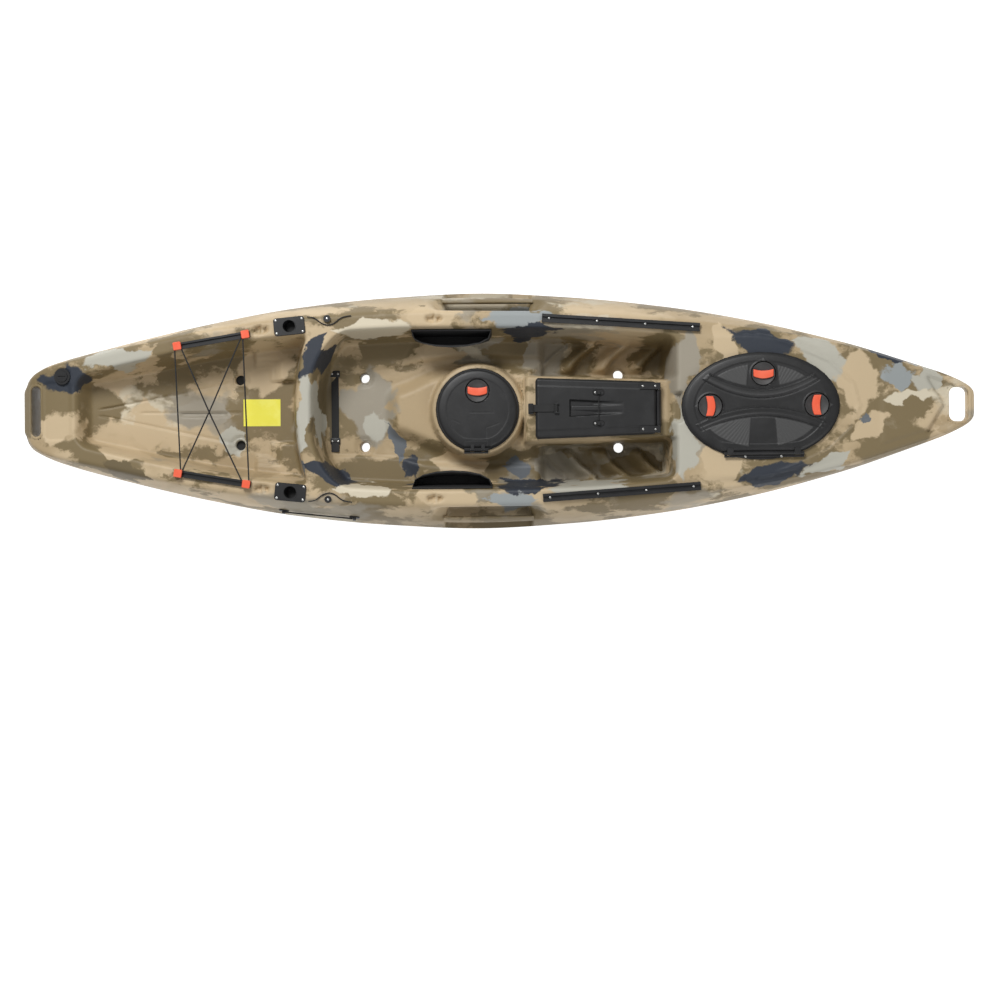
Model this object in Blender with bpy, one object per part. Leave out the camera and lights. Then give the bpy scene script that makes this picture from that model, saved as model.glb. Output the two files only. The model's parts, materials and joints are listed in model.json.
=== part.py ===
"""Sit-on-top fishing kayak with two hatches, a console, rod holders, gear tracks and a keel wheel.

Metres. +X is the bow, +Y is port, +Z is up. The origin is under the middle of the hull, on the ground.
"""

from math import atan2, ceil, cos, hypot, pi, radians, sin, sqrt

import bmesh
import bpy
from mathutils import Matrix, Vector

# ---------------------------------------------------------------- driving dimensions

LENGTH = 3.18
BEAM = 0.81
WALL = 0.005  # moulded plastic
GAP = 0.0003  # between pieces that touch

GUNWALE = 0.054  # flat top of the side deck, from its outer edge to the lip of a well
DRAFT = 0.026  # how far a well's floor stands in from its lip
FULL_DRAFT = 0.12  # height at which a wall has come in by that much, for its slope above the lip
ABOVE_DECK = 0.45  # cutters for the wells end here
STATION_PITCH = 0.115

TANK_FLOOR = 0.130
TANK_AFT_FLOOR = 0.178  # the well shallows over the wheel
SEAT_FLOOR = 0.100
FOOT_FLOOR = 0.066
FOOTWELL_LENGTH = 0.38

SCUPPER_RADIUS = 0.017
SCUPPER_WALL = 0.005

PLINTH_TOP = 0.200  # under the mid hatch
CONSOLE_TOP = 0.235  # under the console lid
HORN_TOP = 0.145  # between the thighs
PLINTH_RADIUS = 0.160

SLOT_LENGTH = 0.037  # carrying slot in each end, along the boat
STERN_SLOT_WIDTH = 0.172
BOW_SLOT_LENGTH = 0.062
BOW_SLOT_WIDTH = 0.116
SIDE_GRIP_LENGTH = 0.275  # moulded carrying bar in each side, with a slot inboard of it and one under it
SIDE_GRIP_GAP = 0.0275
SIDE_GRIP_FLOOR = 0.150
SIDE_BAR_UNDER = 0.183
SIDE_BAR_TOP = 0.222

BOW_HATCH_A = 0.2605  # outer half length and half width of the oval frame
BOW_HATCH_B = 0.179
BOW_OPENING_A = 0.212
BOW_OPENING_B = 0.128
BOW_HINGE_Y = -0.158  # in the hatch's own frame, as are the next four
BOW_HINGE_SPAN = (-0.120, 0.142)
BOW_KNUCKLES = ((-0.110, -0.090), (0.110, 0.130))
BOW_CROWN = 0.0125
BOW_LATCHES = (("aft", -0.165, 0.0, pi / 2), ("fore", 0.184, 0.0, pi / 2), ("port", 0.010, 0.106, 0.0))
HATCH_FRAME_HEIGHT = 0.008
HATCH_COLLAR = 0.004
HATCH_COLLAR_DEPTH = 0.022
SEAL_HEIGHT = 0.002
SEAL_WIDTH = 0.008
LATCH_RADIUS = 0.0385
LATCH_HEIGHT = 0.0100
HINGE_PIN_RADIUS = 0.0025
KNUCKLE_RADIUS = 0.0062

MID_FRAME_RADIUS = 0.142
MID_OPENING_RADIUS = 0.108
MID_LID_RADIUS = 0.1345
MID_HINGE_Y = -0.1360
MID_HINGE_SPAN = (-0.046, 0.036)
MID_KNUCKLES = ((-0.024, -0.012), (0.012, 0.024))
MID_CROWN = 0.0115
MID_LATCH_Y = 0.064

CONSOLE_LENGTH = 0.406
CONSOLE_AFT_WIDTH = 0.206
CONSOLE_FORE_WIDTH = 0.176
CONSOLE_HEIGHT = 0.032
CONSOLE_SKIN = 0.003
CONSOLE_HINGE_RISE = 0.0225
STRAP_WIDTH = 0.024
STRAP_THICKNESS = 0.0035
STRAP_PIVOT = 0.070  # from the lid's aft edge
STRAP_RADIUS = 0.0048
TRAY_DEPTH = 0.088
TRAY_WALL = 0.0025

ROD_PLATE = (0.104, 0.060, 0.005)
ROD_BORE_RADIUS = 0.0205
ROD_TUBE_WALL = 0.003
ROD_TUBE_LENGTH = 0.170
ROD_TILT = radians(12)

GEAR_TRACK = (0.5275, 0.028, 0.0085)
STERN_TRACK = (0.262, 0.022, 0.0080)
TRACK_SLOT = 0.009
TRACK_LIP = 0.0025

BUNGEE_RADIUS = 0.0025
SMALL_CORD_RADIUS = 0.002
HOOK_POST_RADIUS = 0.006
HOOK_SIZE = 0.027

WHEEL_RADIUS = 0.0735
WHEEL_WIDTH = 0.044
TYRE_THICKNESS = 0.014
WHEEL_CLEARANCE = 0.006
AXLE_RADIUS = 0.006

DRAIN_RADIUS = 0.0275
DRAIN_PLUG_RADIUS = 0.019

POCKET_LENGTH = 0.272
POCKET_BULGE = 0.062
POCKET_NET = 0.003

# ---------------------------------------------------------------- lines plan
# Drawn at this size and stretched to LENGTH and BEAM. Each line lists (distance from midships, value).

DRAWN_LENGTH = 3.18
DRAWN_BEAM = 0.81

HALF_BREADTH = (
    (-1.590, 0.085), (-1.577, 0.121), (-1.550, 0.140), (-1.488, 0.1685), (-1.281, 0.229), (-0.973, 0.303),
    (-0.666, 0.359), (-0.355, 0.391), (-0.044, 0.405), (0.268, 0.3895), (0.577, 0.355), (0.879, 0.299),
    (1.175, 0.220), (1.371, 0.153), (1.500, 0.1035), (1.549, 0.080), (1.576, 0.063), (1.590, 0.048),
)
DECK_EDGE = (
    (-1.590, 0.072), (-1.550, 0.122), (-1.488, 0.153), (-1.350, 0.184), (-1.178, 0.222), (-0.900, 0.276),
    (-0.550, 0.314), (-0.200, 0.329), (0.260, 0.323), (0.690, 0.288), (0.950, 0.251), (1.175, 0.200),
    (1.371, 0.140), (1.500, 0.097), (1.549, 0.075), (1.576, 0.058), (1.590, 0.042),
)
PLATEAU_EDGE = (
    (-1.590, 0.050), (-1.488, 0.110), (-0.900, 0.190), (0.500, 0.215), (0.700, 0.225), (0.850, 0.232),
    (1.030, 0.197), (1.175, 0.150), (1.371, 0.098), (1.500, 0.065), (1.590, 0.025),
)
SHEER = (
    (-1.590, 0.215), (-1.572, 0.232), (-1.551, 0.2485), (-1.490, 0.263), (-1.360, 0.2745), (-1.160, 0.2885),
    (-0.840, 0.297), (-0.460, 0.290), (-0.130, 0.2825), (0.110, 0.280), (0.355, 0.284), (0.600, 0.2925),
    (0.830, 0.300), (0.970, 0.308), (1.040, 0.319), (1.120, 0.336), (1.185, 0.3465), (1.280, 0.350),
    (1.430, 0.358), (1.590, 0.370),
)
PARTING = (
    (-1.590, 0.170), (-1.500, 0.163), (-1.370, 0.1585), (-0.900, 0.146), (-0.300, 0.141), (0.250, 0.143),
    (0.400, 0.149), (0.550, 0.160), (0.730, 0.181), (0.900, 0.205), (1.080, 0.234), (1.250, 0.268),
    (1.430, 0.303), (1.500, 0.326), (1.590, 0.341),
)
CHINE = (
    (-1.590, 0.152), (-1.551, 0.122), (-1.500, 0.110), (-1.430, 0.102), (-1.395, 0.097), (-1.365, 0.090),
    (-1.300, 0.080), (-1.100, 0.065), (-0.500, 0.052),
    (-0.050, 0.054), (0.200, 0.069), (0.400, 0.087), (0.730, 0.118), (0.900, 0.145), (1.080, 0.186),
    (1.180, 0.222), (1.300, 0.260), (1.430, 0.292), (1.500, 0.316), (1.590, 0.332),
)
CHINE_BREADTH = (  # as a share of the half breadth
    (-1.590, 0.88), (-1.200, 0.93), (0.000, 0.94), (0.500, 0.89), (0.900, 0.81), (1.200, 0.80), (1.590, 0.86),
)
KEEL = (
    (-1.590, 0.136), (-1.572, 0.117), (-1.551, 0.105), (-1.500, 0.100), (-1.440, 0.096), (-1.395, 0.092),
    (-1.350, 0.082), (-1.300, 0.070), (-1.200, 0.048), (-1.100, 0.033), (-0.950, 0.0175), (-0.530, 0.0035),
    (-0.300, 0.000), (0.000, 0.0035),
    (0.414, 0.0175), (0.834, 0.0245), (1.044, 0.035), (1.149, 0.0455), (1.254, 0.0595), (1.310, 0.084),
    (1.352, 0.1225), (1.394, 0.175), (1.436, 0.227), (1.478, 0.290), (1.500, 0.308), (1.590, 0.323),
)
FLATNESS = (  # 1 where the bottom carries channels, 0 where it is a plain vee
    (-1.590, 0.0), (-1.350, 0.3), (-1.100, 1.0), (0.300, 1.0), (0.900, 0.25), (1.200, 0.0), (1.590, 0.0),
)
FIN = (  # the fairing round the wheel: distance from midships, lowest height, half width
    (-1.486, 0.100, 0.034), (-1.475, 0.075, 0.038), (-1.455, 0.052, 0.040), (-1.425, 0.034, 0.040),
    (-1.390, 0.027, 0.040), (-1.320, 0.025, 0.040), (-1.230, 0.026, 0.030), (-1.120, 0.024, 0.018),
    (-1.000, 0.019, 0.008),
)
PLATEAU = (0.600, 1.185)  # the fore deck is one plane between these, under the bow hatch
HOLLOW = (-1.500, 1.400)  # the hull is moulded solid past these

# Places on the drawn hull
TANK_AFT_X = -1.400
TANK_FORE_X = -0.655
SEAT_BACK_X = -0.608
COCKPIT_FORE_X = 0.623
MID_HATCH_X = -0.049
CONSOLE_AFT_X = 0.1475
BOW_HATCH_X = 0.893
STERN_SLOT_X = -1.5375
BOW_SLOT_X = 1.5415
SIDE_GRIP_X = -0.0125
WHEEL_X = -1.395
DRAIN = (-1.4426, 0.1165)
ROD_HOLDER_X = -0.675
TANK_SCUPPER = (-0.871, 0.113)
SEAT_SCUPPER = (-0.443, 0.120)
FOOT_SCUPPER = (0.442, 0.127)
POCKET_X = -0.135
GEAR_TRACK_X = (0.170, 0.696)
STERN_TRACK_X = (-1.062, -0.804)
TIE_DOWN_X = (-0.773, -0.193)
BUTTON_X = -0.549
SIDE_EYE_X = (-0.710, -0.470)
SIDE_EYE_Z = 0.206

# ---------------------------------------------------------------- scene and materials

for old in list(bpy.data.objects):
    bpy.data.objects.remove(old, do_unlink=True)

KAYAK = bpy.data.collections.new("kayak")
CUTTERS = bpy.data.collections.new("cutters")
bpy.context.scene.collection.children.link(KAYAK)
bpy.context.scene.collection.children.link(CUTTERS)


def material(name, colour, roughness, metallic=0.0):
    made = bpy.data.materials.new(name)
    made.use_nodes = True
    shader = made.node_tree.nodes["Principled BSDF"]
    shader.inputs["Base Color"].default_value = (*colour, 1.0)
    shader.inputs["Roughness"].default_value = roughness
    shader.inputs["Metallic"].default_value = metallic
    made.diffuse_color = (*colour, 1.0)
    return made


HULL_TAN = material("hull_tan", (0.55, 0.44, 0.30), 0.55)
BLACK_PLASTIC = material("black_plastic", (0.02, 0.02, 0.022), 0.45)
ORANGE_PLASTIC = material("orange_plastic", (0.80, 0.16, 0.06), 0.45)
BLACK_RUBBER = material("black_rubber", (0.015, 0.015, 0.015), 0.8)
BLACK_CORD = material("black_cord", (0.02, 0.02, 0.02), 0.9)
STEEL = material("steel", (0.60, 0.60, 0.60), 0.3, 1.0)


# ---------------------------------------------------------------- lines of the hull


def fair(points):
    """A smooth line through the points that doesn't overshoot between them."""
    xs = [x for x, _ in points]
    ys = [y for _, y in points]
    slopes = [(b - a) / (q - p) for p, q, a, b in zip(xs, xs[1:], ys, ys[1:])]
    tangents = [slopes[0]]
    for before, after in zip(slopes, slopes[1:]):
        tangents.append(2 * before * after / (before + after) if before * after > 0 else 0.0)
    tangents.append(slopes[-1])

    def value(x):
        x = min(max(x, xs[0]), xs[-1])
        i = min(max(sum(x >= known for known in xs) - 1, 0), len(xs) - 2)
        h = xs[i + 1] - xs[i]
        t = (x - xs[i]) / h
        rise = (3 - 2 * t) * t * t
        start = t * (1 - t) ** 2 * h * tangents[i]
        end = -t * t * (1 - t) * h * tangents[i + 1]
        return ys[i] + (ys[i + 1] - ys[i]) * rise + start + end

    return value


half_breadth = fair(HALF_BREADTH)
drawn_deck_edge = fair(DECK_EDGE)
plateau_edge = fair(PLATEAU_EDGE)
sheer_line = fair(SHEER)
parting_line = fair(PARTING)
chine_line = fair(CHINE)
chine_breadth = fair(CHINE_BREADTH)
keel_line = fair(KEEL)
flatness = fair(FLATNESS)

STRETCH_X = LENGTH / DRAWN_LENGTH
STRETCH_Y = BEAM / DRAWN_BEAM


def along(drawn_x):
    return drawn_x * STRETCH_X


def across(drawn_y):
    return drawn_y * STRETCH_Y


def deck_edge(x):
    return across(drawn_deck_edge(x / STRETCH_X))


def sheer(x):
    return sheer_line(x / STRETCH_X)


def deck_height(x):
    """Height of the deck at the centreline: the sheer, bridged by a plane under the bow hatch."""
    drawn = x / STRETCH_X
    aft, fore = PLATEAU
    if not aft < drawn < fore:
        return sheer_line(drawn)
    share = (drawn - aft) / (fore - aft)
    return sheer_line(aft) * (1 - share) + sheer_line(fore) * share


def lower_half(x, inset=0.0):
    """Keel to parting line, as (y, z). inset moves the line inwards by a wall."""
    drawn = x / STRETCH_X
    half = across(half_breadth(drawn)) - inset
    chine_y = half * chine_breadth(drawn)
    keel_z = keel_line(drawn)
    chine_z = max(chine_line(drawn), keel_z + 0.006)
    parting_z = parting_line(drawn)
    flat = flatness(drawn)
    rise = chine_z - keel_z
    channel_z = keel_z + 0.33 * rise * (1 - flat) + 0.016 * flat
    runner_z = keel_z + 0.66 * rise * (1 - flat) + (0.006 + 0.1 * rise) * flat
    side = (chine_y + 0.62 * (half - chine_y), chine_z + 0.45 * (parting_z - chine_z))
    return [
        (0.0, keel_z + inset),
        (0.33 * chine_y, channel_z + inset),
        (0.66 * chine_y, runner_z + inset),
        (chine_y, chine_z + 0.5 * inset),
        side,
        (half, parting_z),
    ]


def upper_half(x, inset=0.0):
    """Parting line to the middle of the deck, as (y, z)."""
    drawn = x / STRETCH_X
    half = across(half_breadth(drawn)) - inset
    edge = min(deck_edge(x) - inset, half - 0.004)
    inner = min(across(plateau_edge(drawn)), edge - 0.014)
    parting_z = parting_line(drawn)
    top = sheer(x) - inset
    shoulder = min(0.018, 0.4 * (top - parting_z))
    bulge = 0.08 * (half - edge)
    return [
        (half, parting_z),
        (edge + 0.55 * (half - edge) + bulge, parting_z + 0.5 * (top - parting_z)),
        (edge + 0.06 * (half - edge) + bulge, top - shoulder),
        (edge - 0.003, top - 0.25 * shoulder),
        (edge - 0.011, top),
        (inner, deck_height(x) - inset),
        (0.0, deck_height(x) - inset),
    ]


def both_sides(half):
    """A ring from a half section whose last point may lie on the centreline."""
    port = [(y, z) for y, z in half]
    starboard = [(-y, z) for y, z in reversed(half) if y > 1e-9]
    return port + starboard


def stations(aft, fore):
    """Where the sections stand: closer together at the ends and on the fore deck's corners."""
    count = ceil((fore - aft) / STATION_PITCH)
    places = {round(aft + (fore - aft) * i / count, 5) for i in range(count + 1)}
    wanted = (-1.582, -1.570, -1.551, -1.525, -1.45, *PLATEAU, 1.31, 1.352, 1.394, 1.436, 1.478, 1.52, 1.55, 1.576)
    places |= {round(along(x), 5) for x in wanted if aft < along(x) < fore}
    ordered = sorted(places)
    kept = [ordered[0]]
    for x in ordered[1:-1]:
        if x - kept[-1] > 0.009 and ordered[-1] - x > 0.009:
            kept.append(x)
    return kept + [ordered[-1]]


# ---------------------------------------------------------------- mesh tools


def add_object(name, mesh, finish=None, smooth=False):
    obj = bpy.data.objects.new(name, mesh)
    if finish is None:
        CUTTERS.objects.link(obj)
        obj.hide_render = True
        obj.display_type = "WIRE"
    else:
        KAYAK.objects.link(obj)
        mesh.materials.append(finish)
        if smooth:
            mesh.shade_smooth()
            mesh.set_sharp_from_angle(angle=radians(32))
    return obj


def finish_mesh(name, bm):
    bmesh.ops.recalc_face_normals(bm, faces=bm.faces)
    mesh = bpy.data.meshes.new(name)
    bm.to_mesh(mesh)
    bm.free()
    return mesh


def loft(name, rings, curved=False):
    """A closed skin through rings of the same number of points; curved faces are split into triangles."""
    bm = bmesh.new()
    rows = [[bm.verts.new(point) for point in ring] for ring in rings]
    count = len(rows[0])
    for row, following in zip(rows, rows[1:]):
        for i in range(count):
            j = (i + 1) % count
            bm.faces.new((row[i], row[j], following[j], following[i]))
    bm.faces.new(list(reversed(rows[0])))
    bm.faces.new(rows[-1])
    if curved:
        bmesh.ops.triangulate(bm, faces=bm.faces)
    return finish_mesh(name, bm)


def hull_skin(name, aft, fore, half_section):
    rings = [[(x, y, z) for y, z in both_sides(half_section(x))] for x in stations(aft, fore)]
    return loft(name, rings, curved=True)


def prism(name, outlines, curved=False):
    """A closed solid through flat outlines: pairs of (points, height), where height may be a rule of x."""
    rings = []
    for points, height in outlines:
        rings.append([(x, y, height(x) if callable(height) else height) for x, y in points])
    return loft(name, rings, curved)


def offset(points, distance):
    """The outline moved outwards by the distance; the points run anticlockwise."""
    moved = []
    for before, here, after in zip(points[-1:] + points[:-1], points, points[1:] + points[:1]):
        back = Vector(here) - Vector(before)
        ahead = Vector(after) - Vector(here)
        normal = back.normalized() + ahead.normalized()
        normal = Vector((normal.y, -normal.x)).normalized()
        square = Vector((ahead.y, -ahead.x)).normalized()
        reach = distance / max(normal.dot(square), 0.5)
        moved.append((here[0] + normal.x * reach, here[1] + normal.y * reach))
    return moved


def mirrored(half):
    """An anticlockwise outline from its port half, listed from the bow end to the stern end."""
    return half + [(x, -y) for x, y in reversed(half) if y > 1e-9]


def ellipse(a, b, count=40, centre=(0.0, 0.0)):
    turn = 2 * pi / count
    return [(centre[0] + a * cos(turn * i), centre[1] + b * sin(turn * i)) for i in range(count)]


def rounded_box(length, width, radius, steps=4, centre=(0.0, 0.0)):
    points = []
    for corner, (sx, sy) in enumerate(((1, 1), (-1, 1), (-1, -1), (1, -1))):
        cx = centre[0] + sx * (length / 2 - radius)
        cy = centre[1] + sy * (width / 2 - radius)
        for i in range(steps + 1):
            angle = pi / 2 * (corner + i / steps)
            points.append((cx + radius * cos(angle), cy + radius * sin(angle)))
    return points


def cylinder(name, radius, bottom, top, centre=(0.0, 0.0), count=24):
    return prism(name, [(ellipse(radius, radius, count, centre), bottom), (ellipse(radius, radius, count, centre), top)])


def box(name, low, high):
    """A box between two corners."""
    bm = bmesh.new()
    bmesh.ops.create_cube(bm, size=1.0)
    middle = [(a + b) / 2 for a, b in zip(low, high)]
    size = [b - a for a, b in zip(low, high)]
    bmesh.ops.scale(bm, vec=size, verts=bm.verts)
    bmesh.ops.translate(bm, vec=middle, verts=bm.verts)
    return finish_mesh(name, bm)


def turned(mesh, axis, origin=(0.0, 0.0, 0.0)):
    """Lays a solid made along Z so that it runs along X or Y instead."""
    angle, about = (radians(90), "Y") if axis == "X" else (radians(-90), "X")
    mesh.transform(Matrix.Translation(origin) @ Matrix.Rotation(angle, 4, about))
    return mesh


def combine(obj, operation, others):
    """A Boolean with each helper in turn."""
    for other in others:
        step = obj.modifiers.new(f"{operation.lower()}_{other.name}", "BOOLEAN")
        step.operation = operation
        step.solver = "EXACT"
        step.object = other
    return obj


def helper(mesh):
    return add_object(mesh.name, mesh)


def tube(name, points, radius, finish, closed=False):
    """A round cord or wire through the points."""
    line = bpy.data.curves.new(name, "CURVE")
    line.dimensions = "3D"
    line.bevel_depth = radius
    line.bevel_resolution = 1
    line.use_fill_caps = True
    spline = line.splines.new("POLY")
    spline.points.add(len(points) - 1)
    for spot, point in zip(spline.points, points):
        spot.co = (*point, 1.0)
    spline.use_cyclic_u = closed
    line.materials.append(finish)
    obj = bpy.data.objects.new(name, line)
    KAYAK.objects.link(obj)
    return obj


def smooth_path(points, steps=5):
    """Points on a smooth curve through a cord's own points."""
    padded = [points[0], *points, points[-1]]
    path = []
    for a, b, c, d in zip(padded, padded[1:], padded[2:], padded[3:]):
        for i in range(steps):
            t = i / steps
            path.append(tuple(
                0.5 * (2 * q + (r - p) * t + (2 * p - 5 * q + 4 * r - s) * t * t + (3 * q - p - 3 * r + s) * t ** 3)
                for p, q, r, s in zip(a, b, c, d)
            ))
    return path + [tuple(points[-1])]


def seat_on_deck(obj, x, y, lift=GAP, yaw=0.0):
    """Stands a fitting on the side deck, tipped to the sheer."""
    step = 0.03
    pitch = -atan2(deck_height(x + step) - deck_height(x - step), 2 * step)
    obj.location = (x, y, deck_height(x) + lift)
    obj.rotation_euler = (0.0, pitch, yaw)
    return obj


def gunwale_yaw(x, side):
    step = 0.05
    return side * atan2(deck_edge(x + step) - deck_edge(x - step), 2 * step)


# ---------------------------------------------------------------- hull: the wells and openings


def end_rounding(distance, radius):
    """How far a rounded end pulls its side in, at this distance from the end."""
    if distance >= radius:
        return 0.0
    return radius - sqrt(max(radius ** 2 - (radius - distance) ** 2, 0.0))


def well_outline(aft_x, fore_x, aft_radius, fore_radius, inset, count):
    """Port half of a well's outline, bow end first: it follows the side deck, with rounded ends."""
    length = fore_x - aft_x
    places = [fore_radius * (1 - cos(pi / 2 * i / 4)) for i in range(4)]
    places += [fore_radius + (length - aft_radius - fore_radius) * i / count for i in range(count + 1)]
    places += [length - aft_radius * (1 - cos(pi / 2 * i / 4)) for i in reversed(range(4))]
    half = []
    for from_fore in places:
        x = fore_x - from_fore
        pulled = end_rounding(from_fore, fore_radius) + end_rounding(length - from_fore, aft_radius)
        half.append((x, deck_edge(x) - GUNWALE - inset - pulled))
    return half


def tank_outline(inset):
    """The tank well's fore wall bows aft at the centreline, parallel to the seat back."""
    fore = along(TANK_FORE_X) - inset
    corner = 0.042
    half = well_outline(along(TANK_AFT_X) + inset, fore + corner, 0.040, 0.014, inset, 9)
    width = half[0][1]
    arc = [(fore + corner * share ** 2, width * share) for share in (0.0, 0.3, 0.6, 0.85)]
    return mirrored(arc + half)


def cockpit_outline(inset):
    """The seat back is a deep arc across the aft end."""
    aft = along(SEAT_BACK_X) + inset
    corner = 0.103
    half = well_outline(aft + corner, along(COCKPIT_FORE_X) - inset, 0.0, 0.030, inset, 13)
    half = half[: len(half) - 5]
    width = deck_edge(aft + corner) - GUNWALE - inset
    arc = [(aft + corner * share ** 3, width * share) for share in (0.985, 0.93, 0.8, 0.6, 0.35, 0.0)]
    return mirrored(half + arc)


def footwell_outline(side):
    fore = along(COCKPIT_FORE_X) - DRAFT
    aft = fore - FOOTWELL_LENGTH
    inner = CONSOLE_FORE_WIDTH / 2 + 0.016
    corner = 0.03
    points = []
    for x in (aft, aft + corner, (aft + fore) / 2, fore - corner, fore):
        pulled = corner if x in (aft, fore) else 0.0
        points.append((x, deck_edge(x) - GUNWALE - DRAFT - 0.004 - pulled))
    outline = [(fore - corner * 0.5, inner), *reversed(points), (aft + corner * 0.5, inner)]
    return outline if side > 0 else [(x, -y) for x, y in reversed(outline)]


def tank_floor(x):
    """The floor climbs towards the stern, over the wheel."""
    share = (x - along(TANK_AFT_X)) / 0.32
    share = min(max(share, 0.0), 1.0)
    return TANK_AFT_FLOOR + (TANK_FLOOR - TANK_AFT_FLOOR) * share


def well(name, outline, floor, grow):
    """A well as a solid, from its rule for an outline. grow makes the outside of its wall instead."""
    lip = outline(-grow)
    foot = outline(DRAFT - grow)
    low = (lambda x: floor(x) - grow) if callable(floor) else floor - grow
    top = max(sheer(x) for x, _ in lip)
    above = DRAFT * (ABOVE_DECK - top) / (top - FULL_DRAFT)
    return helper(prism(name, [(foot, low), (lip, top), (outline(-grow - above), ABOVE_DECK)], curved=True))


def pedestal(name, grow):
    """What stands up between the seat and the bow: horn, plinth and console block, left uncut."""
    hatch_x = along(MID_HATCH_X)
    radius = PLINTH_RADIUS + grow
    plinth = cylinder(f"{name}_plinth", radius, 0.02, PLINTH_TOP + grow, (hatch_x, 0.0), 36)
    block_aft = along(CONSOLE_AFT_X) - 0.034
    block_fore = along(COCKPIT_FORE_X) + 0.08
    aft_y = CONSOLE_AFT_WIDTH / 2 + 0.012
    fore_y = CONSOLE_FORE_WIDTH / 2 + 0.008
    block = [(block_fore, -fore_y), (block_fore, fore_y), (block_aft, aft_y), (block_aft, -aft_y)]
    spread = offset(block, grow + 0.012)
    console = prism(f"{name}_console", [(spread, 0.02), (offset(block, grow), CONSOLE_TOP + grow)])
    horn_aft = hatch_x - PLINTH_RADIUS - 0.14
    horn = [(hatch_x, -0.14), (hatch_x, 0.14), (horn_aft, 0.085), (horn_aft, -0.085)]
    thigh = prism(f"{name}_horn", [(offset(horn, grow + 0.02), 0.02), (offset(horn, grow - 0.01), HORN_TOP + grow)])
    return [helper(plinth), helper(console), helper(thigh)]


def cockpit(name, grow):
    cutter = well(name, cockpit_outline, SEAT_FLOOR, grow)
    return combine(cutter, "DIFFERENCE", pedestal(f"{name}_uncut", -grow))


def deck_wells(prefix, grow):
    """Every well as a cutter, or with grow as the outside of its wall."""
    made = [well(f"{prefix}_tank", tank_outline, tank_floor, grow), cockpit(f"{prefix}_cockpit", grow)]
    for side, hand in ((1, "port"), (-1, "starboard")):
        foot = offset(footwell_outline(side), grow)
        low = offset(footwell_outline(side), grow - 0.006)
        made.append(helper(prism(f"{prefix}_footwell_{hand}", [(low, FOOT_FLOOR - grow), (foot, SEAT_FLOOR + 0.02)])))
        made.append(side_grip(f"{prefix}_grip_{hand}", side, grow))
    return made


def side_grip(name, side, grow):
    """The slots of a carrying bar: one from outside, under the bar, and one from above, inboard of it."""
    middle = along(SIDE_GRIP_X)
    wall_y = deck_edge(middle)
    height = SIDE_BAR_UNDER - SIDE_GRIP_FLOOR
    outline = rounded_box(SIDE_GRIP_LENGTH + 2 * grow, height + 2 * grow, 0.012 + grow, 3)
    under = prism(name, [(outline, -grow), (outline, 0.16)])
    under.transform(Matrix.Rotation(radians(-90), 4, "X"))
    obj = helper(under)
    obj.location = (middle, side * wall_y, (SIDE_BAR_UNDER + SIDE_GRIP_FLOOR) / 2)
    obj.rotation_euler = (0.0, 0.0, 0.0 if side > 0 else pi)
    centre = (middle, side * (wall_y + 0.002 + SIDE_GRIP_GAP / 2))
    plan = rounded_box(SIDE_GRIP_LENGTH + 2 * grow, SIDE_GRIP_GAP + 2 * grow, 0.011 + grow, 3, centre)
    inboard = prism(f"{name}_inboard", [(plan, SIDE_GRIP_FLOOR + 0.008 - grow), (plan, SIDE_BAR_TOP + 0.02)])
    return combine(obj, "UNION", [helper(inboard)])


def side_scallop(name, side, grow):
    """The hull side pulled in above the carrying bar, so that a hand reaches it from above."""
    middle = along(SIDE_GRIP_X)
    wall_y = deck_edge(middle) + 0.0015
    long, short = SIDE_GRIP_LENGTH / 2 + 0.070, SIDE_GRIP_LENGTH / 2 + 0.008
    far = across(DRAWN_BEAM / 2) + 0.05
    plan = [(-short, wall_y - grow), (short, wall_y - grow), (long + grow, far), (-long - grow, far)]
    outline = [(middle + x, side * y) for x, y in plan]
    if side < 0:
        outline.reverse()
    return helper(prism(name, [(outline, SIDE_BAR_TOP - grow), (outline, sheer(middle) - 0.006)]))


def bottom_height(x, y):
    """Height of the outer bottom at this place."""
    half = lower_half(x)
    for (y0, z0), (y1, z1) in zip(half, half[1:]):
        if y0 <= abs(y) <= y1:
            return z0 + (z1 - z0) * (abs(y) - y0) / (y1 - y0)
    return half[-1][1]


def scupper_places():
    for (x, y), floor in ((TANK_SCUPPER, TANK_FLOOR), (SEAT_SCUPPER, SEAT_FLOOR), (FOOT_SCUPPER, FOOT_FLOOR)):
        for side in (1, -1):
            yield along(x), side * across(y), floor


def scuppers(prefix, radius, from_bottom, above_floor):
    """Vertical tubes or bores at every scupper."""
    made = []
    for number, (x, y, floor) in enumerate(scupper_places(), 1):
        low = bottom_height(x, y) + from_bottom
        made.append(helper(cylinder(f"{prefix}_{number}", radius, low, floor + above_floor, (x, y), 20)))
    return made


def tie_down_places():
    for number, drawn in enumerate(TIE_DOWN_X, 1):
        x = along(drawn)
        for side, hand in ((1, "port"), (-1, "starboard")):
            yield f"{number}_{hand}", x, side * (deck_edge(x) - GUNWALE / 2)


def tie_down_pockets(prefix, grow):
    """Small oval recesses in the side deck; a bar is left across each one."""
    made = []
    for label, x, y in tie_down_places():
        outline = ellipse(0.028 + grow, 0.014 + grow, 20, (x, y))
        pocket = helper(prism(f"{prefix}_{label}", [(outline, sheer(x) - 0.020 - grow), (outline, sheer(x) + 0.03)]))
        if grow == 0.0:
            bar = box(f"{prefix}_bar_{label}", (x + 0.002, y - 0.03, sheer(x) - 0.008), (x + 0.008, y + 0.03, 0.4))
            combine(pocket, "DIFFERENCE", [helper(bar)])
        made.append(pocket)
    return made


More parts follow.
